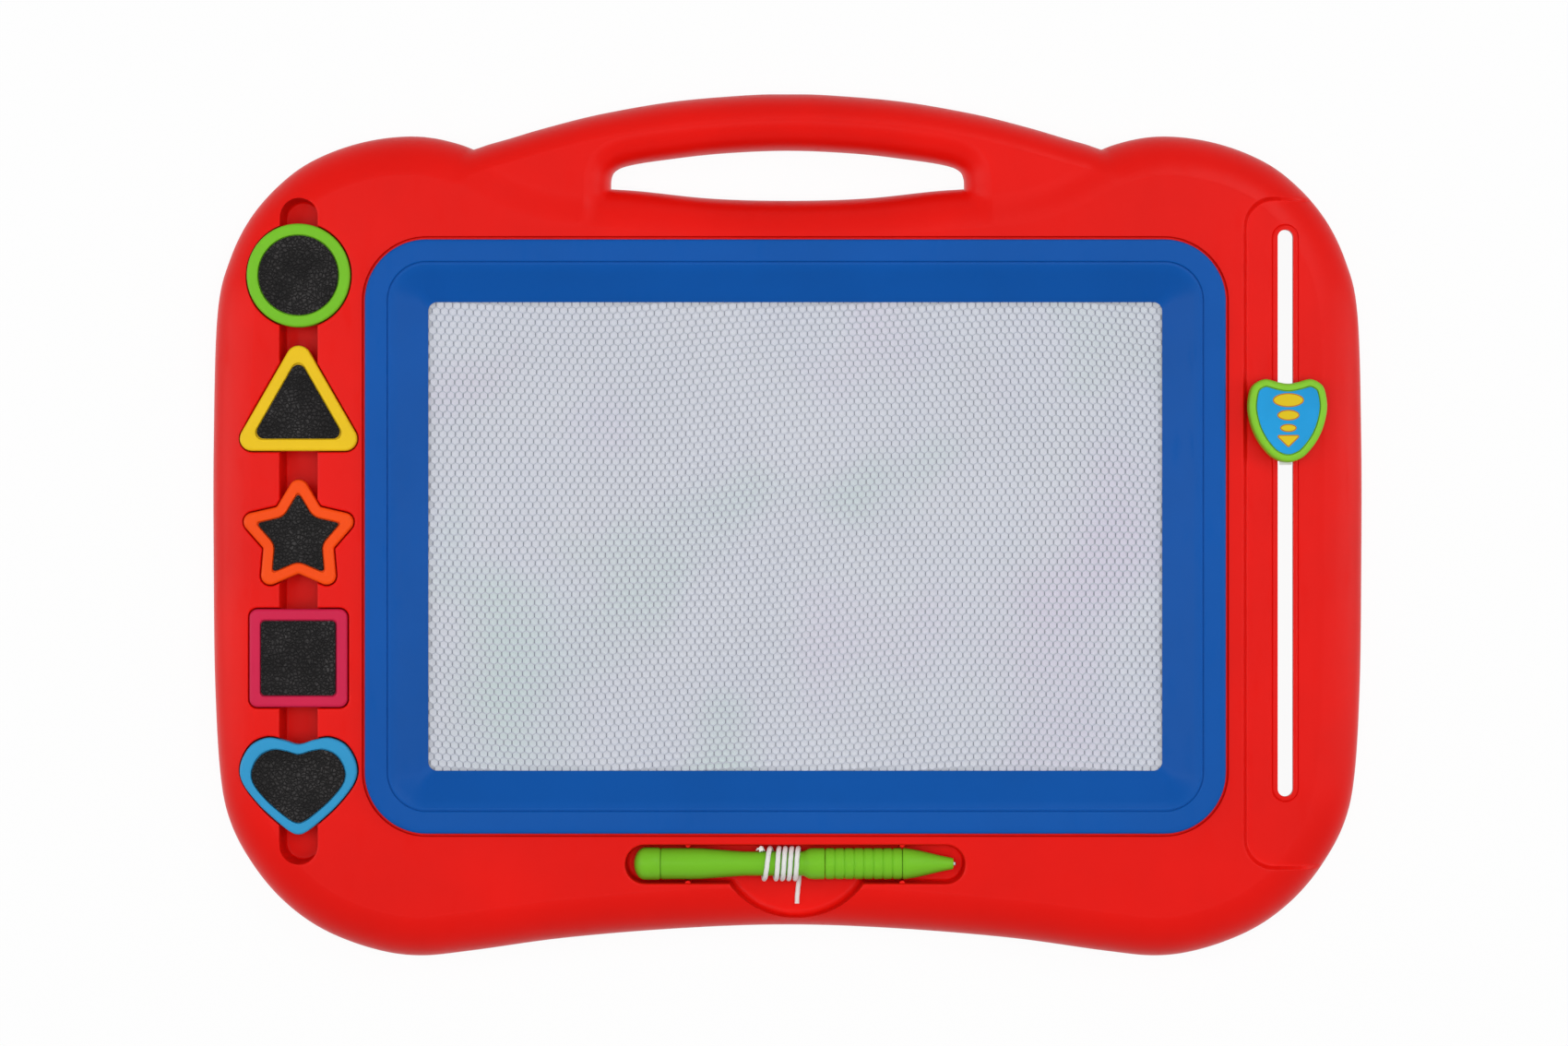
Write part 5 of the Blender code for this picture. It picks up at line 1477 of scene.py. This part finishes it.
@dataclass
class Screen:
    """The drawing screen: clear film over a honeycomb of cells on a back film."""

    pitch: float = 0.0030
    row_pitch: float = 0.00232
    wall: float = 0.00032
    slant: float = math.radians(30)
    swell: float = 0.0042
    swell_rate: float = 18.0
    ripple: float = 0.0006
    ripple_rates: tuple[float, float] = (61.0, 34.0)
    drift_rate: float = 47.0
    edge_margin: float = 0.0030
    floor: float = 0.0001
    corner_radius: float = 0.0094

    def waves(self, grower: Grower) -> bpy.types.NodeSocket:
        """Give the offset that tilts and waves the rows at each point.

        Args:
            grower: the tree that gets the nodes.

        Returns:
            The offset.
        """
        x, y, _ = grower.split(grower.position())
        swell = grower.sum("SINE", grower.sum("MULTIPLY", x, self.swell_rate))
        slanted = grower.sum("ADD", grower.sum("MULTIPLY", x, self.ripple_rates[0]),
                             grower.sum("MULTIPLY", y, self.ripple_rates[1]))
        drift = grower.sum("SINE", grower.sum("MULTIPLY", y, self.drift_rate))
        up = grower.sum("ADD", grower.sum("MULTIPLY", swell, self.swell),
                        grower.sum("MULTIPLY", grower.sum("SINE", slanted), self.ripple))
        return grower.vector(grower.sum("MULTIPLY", drift, self.ripple), up)

    def walls(self, name: str, places: list[tuple[float, float, float, float]],
              values: dict[str, object]) -> bpy.types.Mesh:
        """Set one kind of wall on every cell.

        Args:
            name: the mesh's name.
            places: each wall of a cell as (x, y, turn, length).
            values: the tree's sizes and material.

        Returns:
            The mesh.
        """
        grower = Grower(name, values)
        given = grower.given
        width = grower.sum("MULTIPLY", given["Pitch"], grower.sum("SUBTRACT", given["Columns"], 1))
        height = grower.sum("MULTIPLY", given["Row pitch"], grower.sum("SUBTRACT", given["Rows"], 1))
        grid = grower.node("GeometryNodeMeshGrid", Vertices_X=given["Columns"], Vertices_Y=given["Rows"],
                           Size_X=width, Size_Y=height)
        row = grower.sum("MODULO", grower.node("GeometryNodeInputIndex").outputs[0], given["Rows"])
        odd = grower.sum("MODULO", row, 2)
        shift = grower.vector(grower.sum("MULTIPLY", grower.sum("MULTIPLY", odd, given["Pitch"]), 0.5))
        staggered = grower.moved(grid.outputs["Mesh"], Offset=grower.vectors("ADD", shift, given["Centre"]))
        settled = grower.vectors("ADD", grower.position(), self.waves(grower))
        away = grower.vectors("ABSOLUTE", grower.vectors("SUBTRACT", settled, given["Centre"]), (0, 0, 0))
        beyond = grower.split(grower.vectors("SUBTRACT", away, given["Half size"]))
        outside = grower.sum("GREATER_THAN", grower.sum("MAXIMUM", beyond[0], beyond[1]), 0.0)
        cells = grower.node("GeometryNodeDeleteGeometry", {"domain": "POINT"}, Geometry=staggered,
                            Selection=outside)
        joined = grower.node("GeometryNodeJoinGeometry")
        for x, y, turn, length in places:
            size = grower.vector(length, given["Wall"], given["Depth"])
            grower.tree.links.new(grower.block(size, (x, y, 0.0), turn), joined.inputs[0])
        copies = grower.node("GeometryNodeInstanceOnPoints", Points=cells.outputs[0],
                             Instance=joined.outputs[0])
        return grower.grow(copies.outputs[0], [], self.waves(grower))

    def build(self) -> None:
        """Build the honeycomb, and dress the films."""
        low, high = (Vector(corner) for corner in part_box("honeycomb_core"))
        centre = (low + high) / 2
        rise = self.pitch / 2 * math.tan(self.slant)
        upright = self.row_pitch - rise
        slanted = self.pitch / 2 / math.cos(self.slant)
        uprights = [(self.pitch / 2, 0.0, math.pi / 2, upright)]
        slants = [(side * self.pitch / 4, (upright + rise) / 2, -side * self.slant, slanted)
                  for side in (-1, 1)]
        half = (high - low) / 2 - Vector((self.edge_margin, self.edge_margin, 0))
        depth = high.z - low.z - self.floor
        spare = 10
        # The upright walls take the painted-shade copy of the wall material, and the slanted walls take the
        # lighter lit copy.
        for name, walls, finish in (("honeycomb_uprights", uprights, HONEYCOMB_UPRIGHT_SHADED),
                                    ("honeycomb_slants", slants, HONEYCOMB_SLANT_LIT)):
            material = finish.material()
            values = {"Columns": int((high.x - low.x) / self.pitch) + spare,
                      "Rows": int((high.y - low.y) / self.row_pitch) + spare, "Pitch": self.pitch,
                      "Row pitch": self.row_pitch, "Wall": self.wall, "Depth": depth,
                      "Centre": (centre.x, centre.y, low.z + self.floor + depth / 2),
                      "Half size": tuple(half), "Material": material}
            replaced = ("honeycomb_core",) if walls is uprights else ()
            add_piece(self.walls(name, walls, values), material, "board", replaced)
        back = rectangle((low.x, low.y), (high.x, high.y), self.corner_radius)
        plate = lofted("honeycomb_back", [(back, low.z), (back, low.z + self.floor * 0.9)])
        add_piece(plate, CELL_FLOOR.material(), "board")
        dress_nodes(Film("screen film").material(), "screen_film")
        dress_nodes(WHITE.material(), "screen_backing")


# Eraser


@dataclass
class Eraser:
    """The eraser's knob with its inlaid label; the bar, magnet and slider keep the model's shapes."""

    half_size: tuple[float, float] = (0.0142, 0.01505)
    base: float = 0.0227
    top: float = 0.0311
    edge_round: float = 0.0016
    label_border: float = 0.0026
    label_base: float = 0.0305
    label_top: float = 0.0312
    mark_rise: float = 0.00012
    mark_border: float = 0.0004
    ovals: tuple[tuple[float, float, float], ...] = ((0.04504, 0.00562, 0.00254), (0.03963, 0.00401, 0.00194),
                                                     (0.03498, 0.00298, 0.00147))
    triangle_low: float = 0.02786
    triangle_high: float = 0.03250
    triangle_half_width: float = 0.00477
    triangle_round: float = 0.0006
    foot_half_width: float = 0.00225
    foot_reach: float = 0.0008
    foot_overlap: float = 0.0040
    foot_radius: float = 0.0003
    foot_base: float = 0.02245
    foot_sunk: float = 0.0002

    def centre(self) -> tuple[float, float]:
        """Give the knob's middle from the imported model."""
        low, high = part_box("eraser_knob")
        return ((low[0] + high[0]) / 2, (low[1] + high[1]) / 2)

    def shape(self, inward: float) -> Outline:
        """Give the knob's outline at a distance in from its edge."""
        return inset(mirrored(KNOB_HALF_SHARES, self.half_size, 7, self.centre()), inward)

    def build(self) -> None:
        """Build the knob, label and marks, and dress the hidden pieces."""
        side = [(across, self.top - down) for across, down in quarter_round(self.edge_round, 5)]
        well = self.label_border
        steps = [(0.0010, self.base), (0.0002, self.base + 0.0006), (0.0, self.base + 0.0020), *side,
                 (well - 0.0002, self.top), (well, self.top - 0.0003), (well, self.top - 0.0009)]
        knob = lofted("knob", [(self.shape(inward), height) for inward, height in steps])
        add_piece(knob, KNOB_GREEN.material(), "eraser", ("eraser_knob",))
        inlay = well + FIT_GAP
        steps = [(inlay, self.label_base), (inlay, self.label_top - 0.0002), (inlay + 0.0002, self.label_top),
                 (inlay + 0.0008, self.label_top)]
        label = lofted("knob_label", [(self.shape(inward), height) for inward, height in steps])
        add_piece(label, LABEL_BLUE.material(), "eraser", ("eraser_knob_label",))
        self.build_marks()
        self.build_foot()
        dress_nodes(WHITE.material(), "eraser_bar", "rear_slider")
        dress_nodes(MAGNET.material(), "eraser_magnet")
        dress_nodes(STEEL.material(), "eraser_screw")

    def build_foot(self) -> None:
        """Build the carriage's thin white foot, which shows just below the knob."""
        x, y = self.centre()
        knob_end = y - self.half_size[1]
        outline = rectangle((x - self.foot_half_width, knob_end - self.foot_reach),
                            (x + self.foot_half_width, knob_end + self.foot_overlap), self.foot_radius, 4)
        foot = lofted("carriage_foot", [(outline, self.foot_base), (outline, self.base + self.foot_sunk)])
        add_piece(foot, WHITE.material(), "eraser")

    def build_marks(self) -> None:
        """Build the label's plain marks: three ovals, each shorter than the last, and a triangle."""
        middle_x = self.centre()[0]
        shapes = [(f"oval_{index + 1}", [(middle_x + half * math.cos(2 * math.pi * step / 48),
                                          y + rise * math.sin(2 * math.pi * step / 48))
                                         for step in range(48)])
                  for index, (y, half, rise) in enumerate(self.ovals)]
        corner, half_width = self.triangle_round, self.triangle_half_width
        triangle = [(middle_x, self.triangle_low, corner),
                    (middle_x + half_width, self.triangle_high, corner),
                    (middle_x - half_width, self.triangle_high, corner)]
        shapes.append(("triangle", filleted(triangle, 5)))
        brown, yellow = LABEL_BROWN.material(), LABEL_YELLOW.material()
        for name, outline in shapes:
            lower = lofted(f"label_{name}_edge", [(outline, self.label_top - 0.0001),
                                                  (outline, self.label_top + self.mark_rise / 2)])
            add_piece(lower, brown, "eraser")
            inner = inset(outline, self.mark_border)
            upper = lofted(f"label_{name}", [(inner, self.label_top),
                                             (inner, self.label_top + self.mark_rise)])
            add_piece(upper, yellow, "eraser")


# Pen and cord


@dataclass
class Pen:
    """The pen: tail cap, waisted barrel, ringed grip, nose and metal tip."""

    body_radius: float = 0.00565
    cap_radius: float = 0.0059
    waist_radius: float = 0.0044
    nose_end_radius: float = 0.0021
    cap_length: float = 0.0097
    barrel_length: float = 0.0597
    grip_length: float = 0.0281
    nose_length: float = 0.0186
    ring_count: int = 8
    ring_depth: float = 0.00045
    seam: float = 0.00018
    tip_bore: float = 0.00105
    tip_bore_depth: float = 0.0060

    def build(self) -> None:
        """Build and dress the pen's pieces."""
        green = GREEN.material()
        tail = Vector((PEN_TAIL_X, PEN_Y, PEN_Z))
        pieces = {"cap": ("pen_tail_cap", self.cap()), "barrel": ("pen_barrel", self.barrel()),
                  "grip": ("pen_grip", self.grip()), "nose": ("pen_nose", self.nose())}
        for name, (node, profile) in pieces.items():
            mesh = turned(f"pen_{name}_turned", profile, tail, along_x=True)
            add_piece(mesh, green, "pen", (node,))
        dress_nodes(STEEL.material(), "pen_tip")

    def cap(self) -> list[tuple[float, float]]:
        """Give the tail cap's profile, domed at its end."""
        dome = [(self.cap_radius * math.sin(math.pi / 2 * step / 8),
                 self.cap_length * 0.42 * (1 - math.cos(math.pi / 2 * step / 8))) for step in range(9)]
        end = self.cap_length - self.seam / 2
        return [*dome, (self.cap_radius, end - 0.0007), (self.cap_radius - 0.0004, end), (0.0, end)]

    def barrel(self) -> list[tuple[float, float]]:
        """Give the barrel's profile, with its waist for the cord."""
        start = self.cap_length + self.seam / 2
        end = self.cap_length + self.barrel_length - self.seam / 2
        drop = self.body_radius - self.waist_radius
        points = [(0.0, start), (self.body_radius - 0.0003, start), (self.body_radius, start + 0.0004)]
        places = ((0.20, 1.0), (0.26, 0.90), (0.33, 0.64), (0.39, 0.41), (0.44, 0.22), (0.48, 0.08),
                  (0.51, 0.0), (0.865, 0.0), (0.873, 0.06), (0.886, 0.40), (0.900, 0.76),
                  (0.915, 0.95), (0.935, 1.0))
        points += [(self.waist_radius + drop * fullness, start + (end - start) * share)
                   for share, fullness in places]
        return points + [(self.body_radius, end - 0.0004), (self.body_radius - 0.0004, end), (0.0, end)]

    def grip(self) -> list[tuple[float, float]]:
        """Give the grip's profile, with its rings."""
        start = self.cap_length + self.barrel_length + self.seam / 2
        end = start + self.grip_length - self.seam
        pitch = (end - start) / self.ring_count
        points = [(0.0, start), (self.body_radius - self.ring_depth, start)]
        for ring in range(self.ring_count):
            low = start + pitch * ring
            for step in range(1, 10):
                share = step / 10
                swell = min(1.0, 1.35 * math.sin(math.pi * share) ** 0.6)
                points.append((self.body_radius - self.ring_depth * (1 - swell), low + pitch * share))
            points.append((self.body_radius - self.ring_depth, low + pitch))
        return points + [(0.0, end)]

    def nose(self) -> list[tuple[float, float]]:
        """Give the nose's profile, from the grip to the tip."""
        start = self.cap_length + self.barrel_length + self.grip_length + self.seam / 2
        end = start + self.nose_length - self.seam
        drop = self.body_radius - self.nose_end_radius
        places = ((0.03, 1.0), (0.10, 0.965), (0.20, 0.885), (0.32, 0.765), (0.45, 0.61), (0.60, 0.42),
                  (0.75, 0.235), (0.88, 0.095), (0.96, 0.02))
        points = [(0.0, start), (self.body_radius - 0.0003, start)]
        points += [(self.nose_end_radius + drop * fullness, start + (end - start) * share)
                   for share, fullness in places]
        bore, bore_end = self.tip_bore, end - self.tip_bore_depth
        return points + [(self.nose_end_radius - 0.0002, end), (bore, end), (bore, bore_end), (0.0, bore_end)]


@dataclass
class Cord:
    """White twisted cord wound on the pen's waist, with a frayed end and a short sealed tail."""

    diameter: float = 0.0018
    winding_radius: float = 0.0056
    pitch: float = 0.00230
    first_step: float = 0.0043
    start_x: float = -0.0085
    turns: float = 5.25
    points_per_turn: int = 24
    stub: float = 0.0024
    reach: float = 0.0132
    drift: float = -0.0010
    tail_height: float = 0.0139
    yarns: int = 3
    yarn_turn: float = 0.0036
    sides: int = 18
    ring_step: float = 0.00045

    def route(self) -> list[Vector]:
        """Give the cord's centre line, from its frayed end round the waist to its tail.

        Returns:
            The points.
        """
        first_x = self.start_x - self.first_step / 4
        points = [Vector((first_x, PEN_Y + self.winding_radius, PEN_Z + self.stub * share))
                  for share in (1, 0.5)]
        for step in range(round(self.turns * self.points_per_turn) + 1):
            turn = step / self.points_per_turn - 0.5
            if turn < 0:
                x = self.start_x + self.first_step / 2 * turn
            elif turn < 1:
                x = self.start_x + self.first_step * turn
            else:
                x = self.start_x + self.first_step + self.pitch * (turn - 1)
            angle = 2 * math.pi * turn
            points.append(Vector((x, PEN_Y - self.winding_radius * math.cos(angle),
                                  PEN_Z + self.winding_radius * math.sin(angle))))
        points.append(points[-1] - Vector((0, self.diameter, 0)))
        start = points[-1]
        drop = start.z - self.tail_height
        for step in range(1, 9):
            share = step / 8
            ease = share ** 2 * (3 - 2 * share)
            points.append(start + Vector((self.drift * ease, -self.reach * share, -drop * ease)))
        return points

    def resampled(self, points: list[Vector]) -> list[Vector]:
        """Give points at even steps along a centre line."""
        lengths = [0.0]
        for before, after in zip(points, points[1:]):
            lengths.append(lengths[-1] + (after - before).length)
        count = round(lengths[-1] / self.ring_step)
        fine, segment = [], 0
        for index in range(count + 1):
            target = lengths[-1] * index / count
            while segment < len(points) - 2 and lengths[segment + 1] < target:
                segment += 1
            share = (target - lengths[segment]) / (lengths[segment + 1] - lengths[segment])
            fine.append(points[segment].lerp(points[segment + 1], share))
        return fine

    def tube(self, name: str, points: list[Vector], radius: float, lobed: bool) -> bpy.types.Mesh:
        """Run a tube along points.

        Args:
            name: the mesh's name.
            points: its centre line.
            radius: its outer radius.
            lobed: whether it shows the twisted yarns.

        Returns:
            The mesh, with a UV map along and round it.
        """
        shape = bmesh.new()
        sides = self.sides if lobed else 6
        rings, travel = [], [0.0]
        tangents = [(points[min(i + 1, len(points) - 1)] - points[max(i - 1, 0)]).normalized()
                    for i in range(len(points))]
        normal = tangents[0].orthogonal().normalized()
        for index, (point, tangent) in enumerate(zip(points, tangents)):
            if index:
                travel.append(travel[-1] + (point - points[index - 1]).length)
            normal = (normal - tangent * normal.dot(tangent)).normalized()
            side = tangent.cross(normal)
            ring = []
            for step in range(sides):
                angle = 2 * math.pi * step / sides
                reach = radius
                if lobed:
                    phase = self.yarns * angle - 2 * math.pi * travel[-1] / self.yarn_turn * self.yarns / 3
                    reach = radius * (0.90 + 0.10 * abs(math.cos(phase / 2)) ** 0.7)
                outwards = normal * math.cos(angle) + side * math.sin(angle)
                ring.append(shape.verts.new(point + outwards * reach))
            rings.append(ring)
        layer = shape.loops.layers.uv.new("along")
        for ring_index, (lower, upper) in enumerate(zip(rings, rings[1:])):
            for step in range(sides):
                after = (step + 1) % sides
                face = shape.faces.new((lower[step], lower[after], upper[after], upper[step]))
                rows = (ring_index, ring_index, ring_index + 1, ring_index + 1)
                columns = (step, step + 1, step + 1, step)
                for loop, row, column in zip(face.loops, rows, columns):
                    loop[layer].uv = (column / sides, travel[row] / (2 * math.pi * radius))
        shape.faces.new(list(reversed(rings[0])))
        shape.faces.new(rings[-1])
        return mesh_from_shape(name, shape, weld=0.000001, sharp=math.radians(70))

    def frayed(self, at: Vector) -> bpy.types.Mesh:
        """Build the loose yarns of the cut end.

        Args:
            at: the end of the cord.

        Returns:
            The yarns as one mesh.
        """
        draw = random.Random(11)
        shape = bmesh.new()
        for index in range(9):
            angle = 2 * math.pi * index / 9 + draw.uniform(-0.3, 0.3)
            lean = draw.uniform(0.5, 1.1)
            start = at + Vector((math.cos(angle), math.sin(angle), 0)) * 0.0005 - Vector((0, 0, 0.0004))
            bend = Vector((math.cos(angle) * lean - 0.3, math.sin(angle) * lean * 0.5 - 0.45, 0.9))
            bend = bend.normalized()
            length = draw.uniform(0.0010, 0.0017)
            points = [start + bend * length * share + Vector((0, 0, -0.0004 * share ** 2))
                      for share in (0, 0.3, 0.6, 0.85, 1.0)]
            strand = self.tube(f"yarn_{index}", points, 0.00018, lobed=False)
            shape.from_mesh(strand)
            bpy.data.meshes.remove(strand)
        mesh = bpy.data.meshes.new("cord_frayed_end")
        shape.to_mesh(mesh)
        shape.free()
        mesh.shade_smooth()
        return mesh

    def build(self) -> None:
        fibre = CORD_WHITE.material()
        route = self.route()
        fine = self.resampled(route)
        cord = add_piece(self.tube("pen_cord", fine, self.diameter / 2, lobed=True), fibre, "pen",
                         ("cord_winding", "cord_tail"))
        ends = add_piece(self.frayed(route[0]), fibre, "pen")


# Screws


@dataclass
class Screws:
    """The case screws, seen from the back: domed pan heads with a cross recess."""

    head_radius: float = 0.0027
    head_thickness: float = 0.0015
    dome: float = 0.0006
    shank_radius: float = 0.0012
    recess_length: float = 0.0029
    recess_width: float = 0.0008
    recess_depth: float = 0.0011
    sides: int = 32
    rings: int = 5

    def build(self) -> None:
        """Build every screw by one tree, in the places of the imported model's screws."""
        names = sorted(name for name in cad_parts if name.startswith("case_screw"))
        boxes = [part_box(name) for name in names]
        places = [Vector(((low[0] + high[0]) / 2, (low[1] + high[1]) / 2, low[2])) for low, high in boxes]
        steel = STEEL.material()
        values = {"Head radius": self.head_radius, "Head thickness": self.head_thickness, "Dome": self.dome,
                  "Shank radius": self.shank_radius, "Length": boxes[0][1][2] - boxes[0][0][2],
                  "Material": steel}
        grower = Grower("case_screws", values)
        given = grower.given
        head = grower.node("GeometryNodeMeshCylinder", Vertices=self.sides, Side_Segments=2,
                           Fill_Segments=self.rings, Radius=given["Head radius"],
                           Depth=given["Head thickness"])
        half_head = grower.sum("MULTIPLY", given["Head thickness"], 0.5)
        lifted = grower.node("GeometryNodeTransform", Geometry=head.outputs["Mesh"],
                             Translation=grower.vector(0.0, 0.0, half_head))
        x, y, z = grower.split(grower.position())
        square = grower.sum("ADD", grower.sum("MULTIPLY", x, x), grower.sum("MULTIPLY", y, y))
        reach = grower.sum("DIVIDE", square,
                           grower.sum("MULTIPLY", given["Head radius"], given["Head radius"]))
        outer = grower.sum("LESS_THAN", z, grower.sum("MULTIPLY", given["Head thickness"], 0.25))
        sunk = grower.sum("MULTIPLY", grower.sum("MULTIPLY", reach, given["Dome"]), outer)
        domed = grower.moved(lifted.outputs[0], Offset=grower.vector(0.0, 0.0, sunk))
        cut = grower.node("GeometryNodeMeshBoolean", {"operation": "DIFFERENCE"})
        grower.tree.links.new(domed, cut.inputs[0])
        for turn in (0.0, math.pi / 2):
            size = (self.recess_length, self.recess_width, 2 * self.recess_depth)
            bar = grower.block(size, (0.0, 0.0, 0.0), turn)
            grower.tree.links.new(bar, cut.inputs[1])
        shank_length = grower.sum("SUBTRACT", given["Length"], given["Head thickness"])
        shank = grower.node("GeometryNodeMeshCone", Vertices=16, Side_Segments=1,
                            Radius_Bottom=given["Shank radius"],
                            Radius_Top=grower.sum("MULTIPLY", given["Shank radius"], 0.5), Depth=shank_length)
        stood = grower.node("GeometryNodeTransform", Geometry=shank.outputs["Mesh"],
                            Translation=grower.vector(0.0, 0.0, given["Head thickness"]))
        joined = grower.node("GeometryNodeJoinGeometry")
        for part in (stood.outputs[0], cut.outputs[0]):
            grower.tree.links.new(part, joined.inputs[0])
        copies = grower.node("GeometryNodeInstanceOnPoints", Instance=joined.outputs[0],
                             Points=given["Geometry"])
        mesh = grower.grow(copies.outputs[0], places)
        mesh.shade_smooth()
        mesh.set_sharp_from_angle(angle=SMOOTH_ANGLE)
        add_piece(mesh, steel, "board", tuple(names))


# Studio


@dataclass
class Studio:
    """The camera, the pale floor and the soft light."""

    middle: tuple[float, float] = (-0.0013, 0.0007)
    distance: float = 1.5
    frame_width: float = 0.5685
    sensor: float = 36.0
    fill: float = 0.18

    def camera(self) -> None:
        """Set the camera straight above the board, as in the photograph."""
        data = bpy.data.cameras.new("camera")
        data.sensor_width = self.sensor
        data.lens = self.sensor * self.distance / self.frame_width
        data.clip_end = 20.0
        camera = bpy.data.objects.new("camera", data)
        camera.location = (*self.middle, FACE_HEIGHT + self.distance)
        bpy.context.scene.collection.objects.link(camera)
        bpy.context.scene.camera = camera

    def lamp(self, name: str, place: tuple[float, float, float], size: tuple[float, float],
             power: float, mirrored_in_gloss: bool = True) -> None:
        """Add a soft lamp that points at the board.

        Args:
            name: the lamp's name.
            place: where it hangs.
            size: its width and height.
            power: its power in watts.
            mirrored_in_gloss: whether glossy surfaces show it.
        """
        data = bpy.data.lights.new(name, "AREA")
        data.shape = "RECTANGLE"
        data.size, data.size_y = size
        data.energy = power
        lamp = bpy.data.objects.new(name, data)
        lamp.location = place
        lamp.rotation_euler = (Vector((0, 0, 0.01)) - Vector(place)).to_track_quat("-Z", "Y").to_euler()
        lamp.visible_glossy = mirrored_in_gloss
        bpy.context.scene.collection.objects.link(lamp)

    def white_for_camera(self, tree: bpy.types.NodeTree) -> bpy.types.NodeSocket:
        """Add the test for camera, glossy and transmission rays.

        Args:
            tree: the tree that gets it.

        Returns:
            1 for those rays and 0 for others.
        """
        rays = tree.nodes.new("ShaderNodeLightPath")
        total = rays.outputs["Is Camera Ray"]
        for name in ("Is Glossy Ray", "Is Transmission Ray"):
            either = tree.nodes.new("ShaderNodeMath")
            either.operation = "MAXIMUM"
            tree.links.new(total, either.inputs[0])
            tree.links.new(rays.outputs[name], either.inputs[1])
            total = either.outputs[0]
        return total

    def world(self) -> None:
        """Light the scene softly from all round, against white."""
        world = bpy.data.worlds.new("studio")
        bpy.context.scene.world = world
        world.use_nodes = True
        tree = world.node_tree
        tree.nodes.clear()
        soft = tree.nodes.new("ShaderNodeBackground")
        soft.inputs["Color"].default_value = (1.0, 1.0, 1.0, 1.0)
        soft.inputs["Strength"].default_value = self.fill
        white = tree.nodes.new("ShaderNodeBackground")
        white.inputs["Color"].default_value = (1.0, 1.0, 1.0, 1.0)
        white.inputs["Strength"].default_value = 1.0
        mix = tree.nodes.new("ShaderNodeMixShader")
        output = tree.nodes.new("ShaderNodeOutputWorld")
        tree.links.new(self.white_for_camera(tree), mix.inputs["Fac"])
        tree.links.new(soft.outputs[0], mix.inputs[1])
        tree.links.new(white.outputs[0], mix.inputs[2])
        tree.links.new(mix.outputs[0], output.inputs["Surface"])

    def floor(self) -> None:
        """Lay the pale floor, which keeps the board's shadow."""
        shape = bmesh.new()
        bmesh.ops.create_grid(shape, x_segments=2, y_segments=2, size=6.0)
        mesh = mesh_from_shape("floor", shape)
        floor = bpy.data.objects.new("floor", mesh)
        floor.location = (0, 0, -0.0002)
        bpy.context.scene.collection.objects.link(floor)
        material = bpy.data.materials.new("floor")
        material.use_nodes = True
        tree = material.node_tree
        tree.nodes.clear()
        diffuse = tree.nodes.new("ShaderNodeBsdfDiffuse")
        diffuse.inputs["Color"].default_value = (0.92, 0.92, 0.92, 1.0)
        glow = tree.nodes.new("ShaderNodeEmission")
        glow.inputs["Strength"].default_value = 1.0
        share = tree.nodes.new("ShaderNodeMath")
        share.operation = "MULTIPLY"
        share.inputs[1].default_value = 0.94
        mix = tree.nodes.new("ShaderNodeMixShader")
        output = tree.nodes.new("ShaderNodeOutputMaterial")
        tree.links.new(self.white_for_camera(tree), share.inputs[0])
        tree.links.new(share.outputs[0], mix.inputs["Fac"])
        tree.links.new(diffuse.outputs[0], mix.inputs[1])
        tree.links.new(glow.outputs[0], mix.inputs[2])
        tree.links.new(mix.outputs[0], output.inputs["Surface"])
        mesh.materials.append(material)

    def build(self) -> None:
        """Set up the whole studio."""
        bpy.context.scene.view_settings.view_transform = "Standard"
        self.camera()
        self.world()
        self.floor()
        self.lamp("front", (0.0, -0.08, 1.75), (0.8, 0.8), 12.0, mirrored_in_gloss=False)
        self.lamp("key", (0.55, 0.60, 1.25), (0.6, 0.6), 3.0)
        self.lamp("over_left", (-0.60, 0.10, 1.25), (0.35, 0.9), 1.9)
        self.lamp("over_right", (0.64, -0.05, 1.25), (0.35, 0.9), 1.1)
        self.lamp("left", (-1.18, 0.05, 0.55), (0.4, 1.1), 3.2)
        self.lamp("right", (1.20, 0.05, 0.50), (0.4, 1.1), 2.6)


def main() -> None:
    """Build the board in its studio, piece by piece."""
    logging.basicConfig(level=logging.INFO, format="%(message)s")
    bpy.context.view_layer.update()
    Studio().build()
    stamps = [
        Stamp("circle", 0.09051, 0.0044, GREEN, Slot.GREEN),
        Stamp("triangle", 0.04821, 0.0045, YELLOW, Slot.YELLOW),
        Stamp("star", -0.00429, 0.0042, ORANGE, Slot.ORANGE),
        Stamp("square", -0.04831, 0.0043, MAGENTA, Slot.MAGENTA),
        Stamp("heart", -0.09476, 0.0044, SKY, Slot.SKY),
    ]
    Cord().build()
    Pen().build()
    rubber = MAGNET.material()
    for stamp in stamps:
        stamp.build(rubber)
    bezel = Bezel()
    bezel.build()
    Screen().build()
    Eraser().build()
    Screws().build()
    Case(bezel, stamps).build()


if __name__ == "__main__":
    main()
